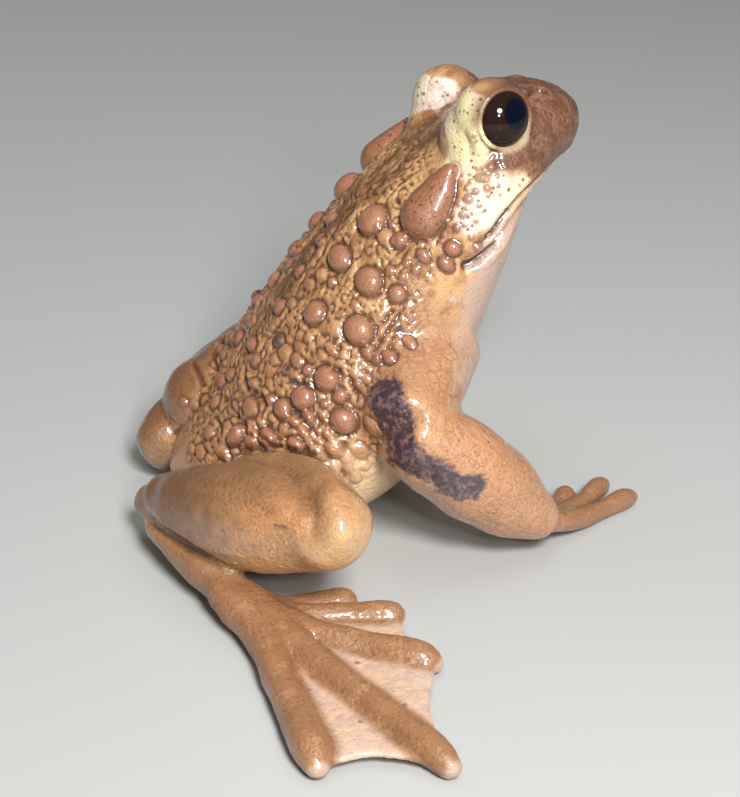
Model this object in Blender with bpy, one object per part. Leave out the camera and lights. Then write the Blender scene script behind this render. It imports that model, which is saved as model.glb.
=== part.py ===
"""A life-size sitting false toad, a stout warty frog of wet southern forests, as a still museum model.

Sizes are in millimetres and become metres when a mesh is made. +X is forward, +Y is the
animal's left and +Z is up. The feet, hands and belly rest on the floor at z = 0.
The flesh is modelled whole, fused and smoothed, and then parted by thin cuts.
"""

import math
import random

import bmesh
import bpy
import numpy as np
from mathutils import Matrix, Vector
from mathutils.bvhtree import BVHTree

MM = 0.001
GAP = 0.3                   # space between neighbouring nodes
WART_SEED = 11

# Trunk and head: where the back and the belly lie in the middle plane, from vent to snout.
# Each row is back (x, z), belly (x, z), half width, widest level from back to belly, squareness, and
# how many degrees the body rolls to raise its right side.
TRUNK_ROWS = (
    ((-20.6, 6.6), (-20.3, 3.2), 2.6, 0.50, 2.0, 0),
    ((-19.3, 9.0), (-17.2, 1.6), 8.0, 0.52, 2.0, 0),
    ((-15.6, 14.2), (-11.5, -0.5), 14.2, 0.55, 2.1, 0),
    ((-11.2, 21.0), (-2.6, -0.4), 17.6, 0.56, 2.1, 0),
    ((-5.2, 29.8), (7.0, 4.2), 17.8, 0.55, 2.1, 0),
    ((0.4, 37.0), (12.8, 12.0), 15.6, 0.52, 2.1, 0),
    ((4.6, 41.0), (15.6, 20.0), 14.4, 0.46, 2.2, 0),
    ((8.2, 43.8), (17.8, 27.4), 14.4, 0.42, 2.3, 2),
    ((11.2, 46.4), (19.6, 32.8), 14.2, 0.44, 2.4, 5),
    ((14.4, 48.7), (20.8, 36.9), 13.2, 0.50, 2.5, 8),
    ((18.0, 50.7), (22.6, 40.2), 11.4, 0.54, 2.6, 9),
    ((22.0, 51.7), (24.6, 42.4), 9.2, 0.55, 2.6, 9),
    ((25.6, 51.3), (26.9, 43.8), 6.5, 0.55, 2.4, 9),
    ((28.0, 49.8), (28.3, 45.2), 3.8, 0.52, 2.2, 9),
)
SNOUT_TIP = Vector((29.2, 0.0, 47.6))
VENT_TIP = Vector((-21.4, 0.0, 5.0))

# Eyes
EYE_CENTRE = {"right": Vector((16.2, -8.9, 50.6)), "left": Vector((15.8, 9.6, 47.0))}
EYE_LOOK = {
    "right": Vector((0.30, -0.93, 0.18)).normalized(),
    "left": Vector((0.30, 0.95, 0.02)).normalized(),
}
EYE_RADIUS = 3.8
LID_RADIUS = 4.45           # the mound of skin that carries the eye
LID_SINK = 0.6              # how far its centre lies behind the eye's
BROW_PLACE = (-0.6, 2.4, -3.0)      # the middle of the brow under it, from the eye's and inward
BROW_RADIUS = 5.1
NOSTRIL = (22.9, -4.6, 52.2)

# Fore limbs: shoulder, elbow and wrist, right then left
SHOULDER = {"right": Vector((9.0, -9.5, 23.5)), "left": Vector((9.0, 9.5, 23.5))}
ELBOW = {"right": Vector((3.2, -20.2, 17.8)), "left": Vector((7.2, 18.6, 18.0))}
WRIST = {"right": Vector((20.0, -21.0, 4.2)), "left": Vector((12.5, 21.5, 4.0))}
HAND_AIM = {"right": Vector((0.707, 0.707, 0.0)), "left": Vector((0.34, 0.94, 0.0))}

# Hind limbs: hip, knee, heel and the root of the toes
HIP = {"right": Vector((-13.5, -6.5, 5.2)), "left": Vector((-14.6, 7.5, 9.7))}
KNEE = {"right": Vector((-8.6, -33.6, 13.6)), "left": Vector((0.0, 26.4, 9.3))}
HEEL = {"right": Vector((-24.6, -8.6, 5.1)), "left": Vector((-20.4, 7.5, 5.2))}
FOOT_ROOT = {"right": Vector((-18.8, -27.0, 3.2)), "left": Vector((-15.5, 24.0, 3.0))}
FOOT_AIM = {"right": math.radians(-62.0), "left": math.radians(36.0)}
FOOT_SPREAD = {"right": 1.0, "left": 0.62}
UPPER_ARM_RADII = (6.4, 5.8, 5.2)
FOREARM_RADII = (4.8, 5.4, 5.5, 4.8, 3.6, 2.3)
TARSUS_RADII = (3.1, 3.2, 3.1, 2.5)
THIGH_RADII = {"right": (4.6, 5.6, 6.2, 5.8, 5.0), "left": (6.2, 6.3, 6.2, 5.8, 5.0)}
SHANK_RADII = {"right": (4.6, 5.9, 6.2, 5.3, 3.9, 3.1), "left": (4.4, 5.6, 5.9, 5.2, 4.5, 4.1)}

# Toes from first to fifth: where the tip lies ahead of the root and to the inner side, where the
# toe leaves the sole in the same way, and its thickness
TOES = (
    ((8.6, 11.6), (4.0, 3.8), 1.35),
    ((14.6, 13.6), (6.5, 3.6), 1.45),
    ((24.8, 9.8), (9.0, 2.2), 1.65),
    ((39.7, -2.2), (9.5, 0.0), 1.75),
    ((31.0, -12.7), (8.5, -2.4), 1.9),
)
WEB_THICKNESS = 0.8
ROOM = 1.0                  # how much wider than a limb the block is that parts it from the trunk
# Fingers from first to fourth: length from the wrist, angle from the third, thickness
FINGERS = ((11.0, 40.0, 1.2), (14.0, 12.0, 1.25), (18.5, 0.0, 1.25), (18.0, -14.5, 1.25))

# Where the head leaves the torso: a point of the back and a point of the throat (x, z)
NECK_BACK = (2.4, 39.0)
NECK_THROAT = (16.9, 26.3)

# Glands behind the eyes: share from vent to snout and angle from the back at the front and back end
GLAND_FRONT = (0.590, 43)
GLAND_BACK = (0.494, 46)
GLAND_HALF_WIDTH = (1.2, 2.2, 2.9, 2.8)
GLAND_HEIGHT = 2.1

# The mouth line, from the corner of the jaw to the middle of the upper lip, and the fold under the jaw
MOUTH_LINE = ((13.4, -14.4, 38.0), (14.6, -14.2, 38.8), (15.6, -13.9, 40.0), (17.6, -13.3, 41.7),
              (20.0, -12.0, 42.9), (22.6, -10.2, 43.3), (25.2, -6.6, 43.8), (27.3, -3.2, 44.6),
              (28.3, 0.0, 45.1))
JAW_LINE = ((10.8, -14.3, 34.6), (12.4, -14.2, 34.9), (13.6, -14.1, 35.6), (14.8, -13.8, 36.6),
            (16.0, -13.4, 37.9), (17.2, -12.8, 39.2), (19.0, -11.6, 40.4), (22.6, -7.0, 41.4),
            (24.2, 0.0, 41.8))
MOUTH_DEPTH = 0.6
MOUTH_WIDTH = 0.5
LIP_HEIGHT = 0.3
LIP_OFFSET = 1.0
JAW_DEPTH = 0.8
JAW_WIDTH = 0.7
JAW_ROLL = 0.7

# Great warts of the right side: share of the way from vent to snout, angle round from the middle
# of the back, radius, and how much longer it is across the body than along it
WARTS = (
    (0.415, 22, 2.00, 1.0), (0.355, 20, 1.55, 1.3), (0.369, 42, 1.65, 1.1), (0.305, 27, 1.60, 1.0),
    (0.333, 51, 1.75, 1.1), (0.284, 52, 1.50, 1.1), (0.256, 49, 1.50, 1.0), (0.281, 71, 1.50, 1.1),
    (0.437, 44, 1.20, 0.8), (0.261, 19, 0.95, 1.1), (0.333, 25, 0.70, 1.0), (0.388, 33, 0.50, 1.0),
    (0.439, 34, 0.50, 1.0), (0.391, 59, 1.10, 1.0), (0.459, 62, 0.70, 1.4), (0.427, 55, 0.50, 1.0),
    (0.400, 49, 0.60, 1.2), (0.412, 57, 0.55, 1.0), (0.434, 62, 0.50, 1.0), (0.290, 62, 0.95, 1.0),
    (0.233, 45, 1.20, 1.1), (0.200, 31, 1.15, 1.4), (0.214, 23, 1.00, 1.0), (0.165, 38, 1.60, 0.7),
    (0.155, 6, 1.00, 1.2), (0.128, 22, 1.00, 1.2), (0.204, 51, 1.15, 1.3), (0.232, 63, 0.95, 1.3),
    (0.252, 57, 0.85, 1.2), (0.276, 6, 1.10, 1.0), (0.236, 4, 1.00, 1.3), (0.311, 3, 1.05, 0.8),
    (0.368, -3, 1.05, 0.8), (0.334, 62, 0.85, 2.0), (0.351, 72, 0.90, 1.1), (0.227, 37, 0.75, 1.0),
    (0.273, 42, 0.70, 1.0), (0.229, 14, 0.95, 1.1), (0.193, 3, 0.90, 1.3), (0.308, 65, 0.60, 1.0),
    (0.272, 59, 0.60, 1.0), (0.318, 10, 0.80, 1.0), (0.507, 79, 0.98, 1.0), (0.483, 80, 0.80, 1.4),
    (0.176, 22, 0.90, 1.2), (0.182, 47, 0.80, 1.4), (0.345, 3, 0.80, 0.9), (0.300, 13, 0.60, 1.0),
)
WART_LEAST = 0.9            # smaller warts than this are left out of the solids
WART_HEIGHT = 0.62          # as a share of the radius
TRUNK_STEPS = 20            # steps between two rows of the trunk when a wart is placed

COLOURS = {
    "skin": ((0.33, 0.17, 0.08), 0.38),
    "eye": ((0.012, 0.011, 0.014), 0.06),
}


def material(name):
    """The Principled BSDF material of that name, made once."""
    found = bpy.data.materials.get(name)
    if found:
        return found
    made = bpy.data.materials.new(name)
    made.use_nodes = True
    shader = made.node_tree.nodes["Principled BSDF"]
    colour, roughness = COLOURS[name]
    shader.inputs["Base Color"].default_value = (*colour, 1.0)
    shader.inputs["Roughness"].default_value = roughness
    shader.inputs["Metallic"].default_value = 0.0
    return made


def add_object(name, mesh):
    obj = bpy.data.objects.new(name, mesh)
    bpy.context.scene.collection.objects.link(obj)
    return obj


def from_bmesh(name, bm):
    bmesh.ops.recalc_face_normals(bm, faces=bm.faces)
    mesh = bpy.data.meshes.new(name)
    bm.to_mesh(mesh)
    bm.free()
    return add_object(name, mesh)


def remove(*objects):
    for obj in objects:
        bpy.data.objects.remove(obj)


def evaluate(obj):
    """Applies the object's modifiers to its mesh."""
    bpy.context.view_layer.update()
    graph = bpy.context.evaluated_depsgraph_get()
    mesh = bpy.data.meshes.new_from_object(obj.evaluated_get(graph))
    obj.modifiers.clear()
    obj.data = mesh
    return obj


def boolean(obj, cutter, operation, solver="MANIFOLD"):
    modifier = obj.modifiers.new(operation, "BOOLEAN")
    modifier.operation = operation
    modifier.solver = solver
    modifier.object = cutter
    return evaluate(obj)


def keep_largest(obj):
    """Keeps the node's largest closed surface."""
    bm = bmesh.new()
    bm.from_mesh(obj.data)
    left = set(bm.faces)
    islands = []
    while left:
        stack = [left.pop()]
        island = set(stack)
        while stack:
            for edge in stack.pop().edges:
                for face in edge.link_faces:
                    if face in left:
                        left.remove(face)
                        island.add(face)
                        stack.append(face)
        islands.append(island)
    islands.sort(key=lambda island: sum(f.calc_area() for f in island))
    drop = [face for island in islands[:-1] for face in island]
    bmesh.ops.delete(bm, geom=drop, context="FACES")
    loose = [v for v in bm.verts if not v.link_faces]
    bmesh.ops.delete(bm, geom=loose, context="VERTS")
    bm.to_mesh(obj.data)
    bm.free()
    return obj


def inflated(obj, distance):
    """A copy of the object grown outward by that many millimetres."""
    copy = add_object(obj.name + "_grown", obj.data.copy())
    grow = copy.modifiers.new("Grow", "DISPLACE")
    grow.mid_level = 0.0
    grow.strength = distance * MM
    return evaluate(copy)


def spline(rows, steps):
    """Points of a Catmull-Rom spline through the rows of numbers, with that many steps a span."""
    rows = np.asarray(rows, float)
    ends = np.vstack([2 * rows[0] - rows[1], rows, 2 * rows[-1] - rows[-2]])
    made = []
    for i in range(1, len(ends) - 2):
        before, start, end, after = ends[i - 1 : i + 3]
        for k in range(steps):
            t = k / steps
            made.append(
                0.5
                * (
                    2 * start
                    + (end - before) * t
                    + (2 * before - 5 * start + 4 * end - after) * t * t
                    + (3 * start - before - 3 * end + after) * t**3
                )
            )
    made.append(rows[-1])
    return np.array(made)


def loft(name, rings, first_tip, last_tip):
    """A closed mesh through rings of points, closed by a fan at each end."""
    bm = bmesh.new()
    loops = [[bm.verts.new(Vector(p) * MM) for p in ring] for ring in rings]
    count = len(loops[0])
    for one, two in zip(loops, loops[1:]):
        for i in range(count):
            j = (i + 1) % count
            bm.faces.new((one[i], one[j], two[j], two[i]))
    for loop, tip in ((loops[0], first_tip), (loops[-1], last_tip)):
        point = bm.verts.new(Vector(tip) * MM)
        for i in range(count):
            bm.faces.new((loop[i], loop[(i + 1) % count], point))
    return from_bmesh(name, bm)


def tube(name, path, radii, sides=12, steps=3, flatten=1.0, up=Vector((0, 0, 1))):
    """A limb: a loft along the path with a radius at each point, its height scaled by flatten."""
    rows = [(*p, r) for p, r in zip(path, radii)]
    points = spline(rows, steps)
    rings = []
    for i, (x, y, z, r) in enumerate(points):
        ahead = points[min(i + 1, len(points) - 1)][:3]
        behind = points[max(i - 1, 0)][:3]
        along = (Vector(ahead) - Vector(behind)).normalized()
        side = along.cross(up).normalized()
        top = side.cross(along)
        centre = Vector((x, y, z))
        ring = []
        for k in range(sides):
            a = 2 * math.pi * k / sides
            ring.append(centre + side * (r * math.cos(a)) + top * (r * flatten * math.sin(a)))
        rings.append(ring)
    middle = [Vector(p[:3]) for p in points]
    first = middle[0] - (middle[1] - middle[0]).normalized() * points[0][3] * 0.5
    last = middle[-1] + (middle[-1] - middle[-2]).normalized() * points[-1][3] * 0.5
    return loft(name, rings, first, last)


def ball(name, centre, radius, stretch=(1, 1, 1), turn=None, detail=(24, 14)):
    bm = bmesh.new()
    bmesh.ops.create_uvsphere(bm, u_segments=detail[0], v_segments=detail[1], radius=radius * MM)
    place = Matrix.Translation(centre * MM) @ (turn or Matrix.Identity(4)) @ Matrix.Diagonal((*stretch, 1))
    bmesh.ops.transform(bm, matrix=place, verts=bm.verts)
    return from_bmesh(name, bm)


def trunk_place(row, angle):
    """The place on the trunk at that row, that many radians round from the middle of the back."""
    back, belly = np.array(row[0:2]), np.array(row[2:4])
    width, level, square, roll = row[4:8]
    s, c = math.sin(angle), math.cos(angle)
    power = 2.0 / square
    lift = math.copysign(abs(c) ** power, c)
    share = level * (1 - lift) if lift > 0 else level - (1 - level) * lift
    across = -math.copysign(abs(s) ** power, s) * width
    deep = math.dist(back, belly)
    depth, tilt = (share - level) * deep, math.radians(roll)
    rolled = level + (depth * math.cos(tilt) + across * math.sin(tilt)) / deep
    x, z = back + (belly - back) * rolled
    return (x, across * math.cos(tilt) - depth * math.sin(tilt), z)


def trunk_lines(steps):
    return spline([(*back, *belly, *shape) for back, belly, *shape in TRUNK_ROWS], steps)


def trunk_at(share, degrees):
    """The place on the trunk at that share of the way from vent to snout; the right side is positive."""
    rows = trunk_lines(TRUNK_STEPS)
    return trunk_place(rows[int(round(share * (len(rows) - 1)))], math.radians(degrees))


def trunk(count=48):
    turns = [2 * math.pi * k / count for k in range(count)]
    rings = [[trunk_place(row, a) for a in turns] for row in trunk_lines(4)]
    return loft("trunk", rings, VENT_TIP, SNOUT_TIP)


def raw_upper_arm(side, extra=0.0):
    path = (SHOULDER[side], SHOULDER[side].lerp(ELBOW[side], 0.5), ELBOW[side])
    return tube("upper_arm_" + side, path, [r + extra for r in UPPER_ARM_RADII], steps=3)


def raw_forearm(side, extra=0.0):
    a, b = ELBOW[side], WRIST[side]
    path = [a.lerp(b, t) for t in (0.0, 0.25, 0.5, 0.75, 0.92, 1.05)]
    return tube("forearm_" + side, path, [r + extra for r in FOREARM_RADII], steps=3)


def rounded(path, radii):
    """The path and radii of a limb, carried on to a round end."""
    tip, wide = path[-1], radii[-1]
    along = (tip - path[-2]).normalized() * wide
    return path + [tip + along * 0.6, tip + along * 0.9], (*radii, wide * 0.82, wide * 0.44)


def raw_thigh(side, extra=0.0):
    a, b = HIP[side], KNEE[side]
    path, radii = rounded([a.lerp(b, t) for t in (0.0, 0.3, 0.6, 0.85, 1.0)], THIGH_RADII[side])
    return tube("thigh_" + side, path, [r + extra for r in radii], steps=3)


def raw_shank(side):
    a, b = KNEE[side], HEEL[side]
    path, radii = rounded([a.lerp(b, t) for t in (0.02, 0.2, 0.42, 0.7, 0.9, 1.0)], SHANK_RADII[side])
    return tube("shank_" + side, path, radii, steps=2)


def raw_tarsus(side):
    a, b = HEEL[side], FOOT_ROOT[side]
    path = [a.lerp(b, t) for t in (0.0, 0.3, 0.7, 1.0)]
    return tube("tarsus_" + side, path, TARSUS_RADII, flatten=0.85)


def digit(name, path, thickness, sides=8):
    radii = (thickness * 1.1, thickness * 1.1, thickness * 0.95, thickness * 1.12, thickness * 0.62)
    return tube(name, path, radii, sides=sides, steps=2)


def toe_lines(side):
    """The middle line of each toe, from the root of the foot over the sole to the tip."""
    root, aim, spread = FOOT_ROOT[side], FOOT_AIM[side], FOOT_SPREAD[side]
    ahead = Vector((math.cos(aim), math.sin(aim), 0.0))
    inner = Vector((-ahead.y, ahead.x, 0.0)) * (1 if side == "right" else -1)
    lines = []
    for (out, across), (leave_out, leave_across), thick in TOES:
        start = Vector((root.x, root.y, 0)) + inner * leave_across * 0.45
        leave = Vector((root.x, root.y, 0)) + ahead * leave_out + inner * leave_across * 0.9
        reach = Vector((out, across * spread)).length
        turn = math.atan2(across * spread, out)
        tip = Vector((root.x, root.y, 0)) + (ahead * math.cos(turn) + inner * math.sin(turn)) * reach
        heights = (thick + 1.2, thick * 1.15, thick * 0.95, thick * 0.98, thick * 0.6)
        spots = (start, leave, leave.lerp(tip, 0.45), leave.lerp(tip, 0.86), tip)
        lines.append([Vector((p.x, p.y, z)) for p, z in zip(spots, heights)])
    return lines


def finger_lines(side):
    root = WRIST[side]
    aim = math.atan2(HAND_AIM[side].y, HAND_AIM[side].x)
    lines = []
    for length, angle, thick in FINGERS:
        turn = aim + math.radians(angle) * (1 if side == "right" else -1)
        ahead = Vector((math.cos(turn), math.sin(turn), 0.0))
        spots = [root.lerp(root + ahead * length, share) for share in (0.0, 0.4, 0.65, 0.88, 1.0)]
        heights = (root.z - 0.6, thick * 1.3, thick * 0.95, thick * 0.9, thick * 0.6)
        lines.append([Vector((p.x, p.y, z)) for p, z in zip(spots, heights)])
    return lines


def digits(name, lines, table):
    return [digit(f"{name}_{k}", line, row[-1]) for k, (line, row) in enumerate(zip(lines, table), 1)]


def web(lines, reach):
    """A thin membrane between neighbouring toes, with a hollow outer edge."""
    sheets = []
    across, out = 5, 6
    for one, two in zip(lines, lines[1:]):
        line_a = spline([tuple(p) for p in one], 4)
        line_b = spline([tuple(p) for p in two], 4)
        bm = bmesh.new()
        layers = []
        for lift in (-0.5, 0.5):
            grid = []
            for i in range(out + 1):
                row = []
                for k in range(across + 1):
                    t = k / across
                    hollow = 1 - 0.16 * math.sin(math.pi * t)
                    at = (i / out) * reach * hollow * (len(line_a) - 1)
                    low = int(min(at, len(line_a) - 2))
                    a = line_a[low] + (line_a[low + 1] - line_a[low]) * (at - low)
                    b = line_b[low] + (line_b[low + 1] - line_b[low]) * (at - low)
                    p = a + (b - a) * t
                    z = max(p[2] - 0.35, WEB_THICKNESS / 2) + lift * WEB_THICKNESS
                    row.append(bm.verts.new((p[0] * MM, p[1] * MM, max(z, 0.05) * MM)))
                grid.append(row)
            layers.append(grid)
        low, high = layers
        for i in range(out):
            for k in range(across):
                quad = ((i, k), (i + 1, k), (i + 1, k + 1), (i, k + 1))
                for grid in (low, high):
                    a, b, c, d = [grid[m][n] for m, n in quad]
                    bm.faces.new((a, b, c))
                    bm.faces.new((a, c, d))
        rim = [(i, 0) for i in range(out)] + [(out, k) for k in range(across)]
        rim += [(i, across) for i in range(out, 0, -1)] + [(0, k) for k in range(across, 0, -1)]
        for (i, k), (m, n) in zip(rim, rim[1:] + rim[:1]):
            bm.faces.new((low[i][k], low[m][n], high[m][n], high[i][k]))
        sheets.append(from_bmesh("web", bm))
    return sheets


def union(name, pieces):
    """One node from its closed pieces, by a single union on a collection."""
    group = bpy.data.collections.new(name + "_pieces")
    bpy.context.scene.collection.children.link(group)
    base, rest = pieces[0], pieces[1:]
    for piece in rest:
        group.objects.link(piece)
    modifier = base.modifiers.new("Union", "BOOLEAN")
    modifier.operation = "UNION"
    modifier.solver = "MANIFOLD"
    modifier.operand_type = "COLLECTION"
    modifier.collection = group
    evaluate(base)
    remove(*rest)
    bpy.data.collections.remove(group)
    base.name = name
    return base


def cut_floor(obj):
    """Gives the node its small flat at floor level."""
    bm = bmesh.new()
    bmesh.ops.create_cube(bm, size=1.0)
    place = Matrix.Translation((0, 0, -0.02)) @ Matrix.Diagonal((0.4, 0.4, 0.04, 1))
    bmesh.ops.transform(bm, matrix=place, verts=bm.verts)
    floor = from_bmesh("floor_cutter", bm)
    boolean(obj, floor, "DIFFERENCE")
    remove(floor)
    return obj


def fused(name, pieces, voxel, smoothing):
    """One closed skin over overlapping pieces, remeshed and smoothed so that the joins are soft."""
    bm = bmesh.new()
    for piece in pieces:
        bm.from_mesh(piece.data)
    remove(*pieces)
    whole = from_bmesh(name, bm)
    remesh = whole.modifiers.new("Remesh", "REMESH")
    remesh.mode = "VOXEL"
    remesh.voxel_size = voxel * MM
    smooth = whole.modifiers.new("Smooth", "SMOOTH")
    smooth.factor = 0.5
    smooth.iterations = smoothing
    return evaluate(whole)


def thinned(obj, triangles):
    """Reduces the mesh to about that many triangles."""
    obj.data.calc_loop_triangles()
    now = len(obj.data.loop_triangles)
    reduce = obj.modifiers.new("Decimate", "DECIMATE")
    reduce.ratio = min(1.0, triangles / now)
    reduce.use_collapse_triangulate = True
    return evaluate(obj)


def nearest_share(points, line):
    """For each point, its distance to the line of points and how far along the line that is, 0 to 1."""
    line = np.asarray(line, float)
    best = np.full(len(points), 1e9)
    share = np.zeros(len(points))
    spans = len(line) - 1
    for i in range(spans):
        start, along = line[i], line[i + 1] - line[i]
        t = np.clip((points - start) @ along / (along @ along), 0, 1)
        away = np.linalg.norm(points - (start + t[:, None] * along), axis=1)
        closer = away < best
        best[closer] = away[closer]
        share[closer] = ((i + t) / spans)[closer]
    return best, share


def mirrored(lines):
    """The like places of the left side, found by share and angle since the head is rolled."""
    rows, angles = trunk_lines(TRUNK_STEPS), range(-180, 180, 3)
    spots = np.array([trunk_place(row, math.radians(angle)) for row in rows for angle in angles])
    made = []
    for line in lines:
        nearest = [int(((spots - np.array(place)) ** 2).sum(axis=1).argmin()) for place in line]
        keys = [divmod(key, len(angles)) for key in dict.fromkeys(nearest)]
        made.append([trunk_place(rows[row], -math.radians(angles[turn])) for row, turn in keys])
    return made


def on_skin(tree, points):
    """The points moved to the nearest place on the skin."""
    return [tuple(tree.find_nearest(Vector(p))[0]) for p in points]


def dome(places, normals, centre, radius, stretch):
    """How far each point is pushed out by a round wart; stretch lengthens it across the body."""
    offset = places - np.asarray(centre)
    normal = normals[np.argmin((offset**2).sum(axis=1))]
    across = np.array(Vector((0.72, 0.0, 0.69)).cross(Vector(normal)).normalized())
    part = offset @ across
    squared = (offset**2).sum(axis=1) - part**2 + (part / stretch) ** 2
    ratio = np.sqrt(squared) / radius
    return WART_HEIGHT * radius * np.clip(1 - ratio**2.4, 0, 1) ** 0.7


def wart_rows():
    """The warts of both sides: those of the left are like the right's, each moved a little."""
    chance = random.Random(WART_SEED)
    rows = list(WARTS)
    for share, angle, radius, stretch in WARTS:
        shift = chance.uniform(-0.025, 0.025), chance.uniform(-7, 7)
        rows.append((share + shift[0], -angle - 4 + shift[1], radius * chance.uniform(0.8, 1.1), stretch))
    return rows


def raised(whole):
    """Pushes the skin out into glands, warts and lips, and in along the mouth and at the nostrils."""
    mesh = whole.data
    count = len(mesh.vertices)
    places = np.empty(count * 3)
    mesh.vertices.foreach_get("co", places)
    places = places.reshape(-1, 3) / MM
    normals = np.array([v.normal for v in mesh.vertices])
    tree = BVHTree.FromPolygons([tuple(p) for p in places], [tuple(f.vertices) for f in mesh.polygons])
    push = np.zeros(count)
    for share, angle, radius, stretch in wart_rows():
        if radius >= WART_LEAST:
            centre = on_skin(tree, [trunk_at(share, angle)])[0]
            push = np.maximum(push, dome(places, normals, centre, radius, stretch))
    for turn in (1, -1):
        lines = [spline(MOUTH_LINE, 6), spline(JAW_LINE, 6), [NOSTRIL]]
        if turn < 0:
            lines = mirrored(lines)
        ends = [trunk_at(share, angle * turn) for share, angle in (GLAND_FRONT, GLAND_BACK)]
        away, share = nearest_share(places, on_skin(tree, spline(ends, 6)))
        half = np.interp(share, (0, 0.3, 0.75, 1), GLAND_HALF_WIDTH)
        bulge = np.clip(1 - (away / half) ** 2.2, 0, 1) ** 0.75
        push = np.maximum(push, GLAND_HEIGHT * bulge * (0.55 + 0.45 * share))
        mouth, share = nearest_share(places, on_skin(tree, lines[0]))
        jaw, share = nearest_share(places, on_skin(tree, lines[1]))
        push -= MOUTH_DEPTH * np.exp(-((mouth / MOUTH_WIDTH) ** 2))
        push += LIP_HEIGHT * np.exp(-(((mouth - LIP_OFFSET) / MOUTH_WIDTH) ** 2))
        ends = np.clip(share / 0.1, 0, 1)
        roll = np.clip(1 - np.abs(mouth - jaw) / (mouth + jaw + 0.1), 0, 1)
        roll *= np.clip((6.5 - mouth - jaw) / 2.5, 0, 1)
        push += (JAW_ROLL * roll - JAW_DEPTH * np.exp(-((jaw / JAW_WIDTH) ** 2))) * ends
        nostril = on_skin(tree, lines[2])[0]
        away = np.linalg.norm(places - np.array(nostril), axis=1)
        push -= 0.7 * np.exp(-((away / 0.55) ** 2))
        push += 0.25 * np.exp(-(((away - 1.1) / 0.5) ** 2))
    places += normals * push[:, None]
    mesh.vertices.foreach_set("co", (places * MM).ravel())
    mesh.update()
    return whole


def part_from(source, name, cutter):
    """A node: what of the source lies inside the cutter."""
    node = add_object(name, source.data.copy())
    return boolean(node, cutter, "INTERSECT")


def cut_away(obj, cutter, gap=GAP):
    """Takes the cutter and a thin gap around it away from the object."""
    grown = inflated(cutter, gap)
    boolean(obj, grown, "DIFFERENCE")
    remove(grown)
    return obj


def head_block():
    """A block that holds all that lies before the neck."""
    back, throat = Vector((NECK_BACK[0], 0, NECK_BACK[1])), Vector((NECK_THROAT[0], 0, NECK_THROAT[1]))
    down = (throat - back).normalized()
    ahead = Vector((-down.z, 0, down.x))
    size = 60.0
    bm = bmesh.new()
    bmesh.ops.create_cube(bm, size=size * MM)
    frame = Matrix((down, Vector((0, 1, 0)), ahead)).transposed().to_4x4()
    centre = (back + throat) / 2 + ahead * size / 2
    bmesh.ops.transform(bm, matrix=Matrix.Translation(centre * MM) @ frame, verts=bm.verts)
    return from_bmesh("head_block", bm)


def finish(obj, slot):
    keep_largest(obj)
    obj.data.materials.clear()
    obj.data.materials.append(material(slot))
    for polygon in obj.data.polygons:
        polygon.use_smooth = True
        polygon.material_index = 0


def to_origin(objects):
    """Moves the model so that the origin lies under the middle of its bounding box."""
    points = np.array([v.co for obj in objects for v in obj.data.vertices])
    low, high = points.min(axis=0), points.max(axis=0)
    shift = Vector((-(low[0] + high[0]) / 2, -(low[1] + high[1]) / 2, 0.0))
    for obj in objects:
        obj.data.transform(Matrix.Translation(shift))
    return shift / MM


def build():
    for obj in list(bpy.data.objects):
        bpy.data.objects.remove(obj)
    pieces = [trunk()]
    for side in ("right", "left"):
        pieces.append(ball("lid", EYE_CENTRE[side] - EYE_LOOK[side] * LID_SINK, LID_RADIUS))
        brow = Vector(BROW_PLACE) * Vector((1, 1 if side == "right" else -1, 1))
        pieces.append(ball("brow", EYE_CENTRE[side] + brow, BROW_RADIUS))
        pieces += [raw_upper_arm(side), raw_forearm(side), raw_thigh(side)]
    whole = thinned(raised(fused("whole", pieces, 0.45, 8)), 6600)
    cut_floor(whole)
    torso = add_object("torso", whole.data.copy())
    block = head_block()
    head = part_from(whole, "head", block)
    cut_away(torso, block)
    nodes = [torso, head]
    eyes = []
    for side in ("right", "left"):
        eye = ball("eye_" + side, EYE_CENTRE[side], EYE_RADIUS, detail=(18, 11))
        cut_away(head, eye)
        upper_room = raw_upper_arm(side, extra=ROOM)
        fore_room = raw_forearm(side, extra=ROOM)
        thigh_room = raw_thigh(side, extra=ROOM)
        for room in (upper_room, fore_room, thigh_room):
            room.name += "_room"
        upper_arm = part_from(whole, "upper_arm_" + side, upper_room)
        cut_away(upper_arm, block)
        forearm = part_from(whole, "forearm_" + side, fore_room)
        cut_away(forearm, upper_room)
        thigh = part_from(whole, "thigh_" + side, thigh_room)
        cut_away(torso, upper_room)
        cut_away(torso, fore_room)
        cut_away(torso, thigh_room)
        shank = raw_shank(side)
        shank.name = "shank_" + side
        tarsus = raw_tarsus(side)
        tarsus.name = "tarsus_" + side
        cut_away(tarsus, shank)
        cut_away(tarsus, whole)
        lines = toe_lines(side)
        foot = union("foot_" + side, digits("toe_" + side, lines, TOES) + web(lines, 0.94))
        for obstacle in (tarsus, shank, whole):
            cut_away(foot, obstacle)
        hand = union("hand_" + side, digits("finger_" + side, finger_lines(side), FINGERS))
        cut_away(hand, whole)
        cut_away(shank, whole)
        for obj in (tarsus, foot, hand, shank):
            cut_floor(obj)
        remove(upper_room, fore_room, thigh_room)
        nodes += [upper_arm, forearm, hand, thigh, shank, tarsus, foot]
        eyes.append(eye)
    remove(whole, block)
    for obj in nodes:
        finish(obj, "skin")
    for obj in eyes:
        finish(obj, "eye")
    return to_origin(nodes + eyes)


ORIGIN_SHIFT = build()
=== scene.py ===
"""The looks of a life-size sitting false toad: one unbroken warty skin, two wet black eyes, a pale
floor and soft light.

Lengths are in millimetres in the pose's own frame, with +X forward, +Y to the animal's left and the
floor at z = 0, and become metres in the CAD frame when a mesh is made.
"""

import math
import random

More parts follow.
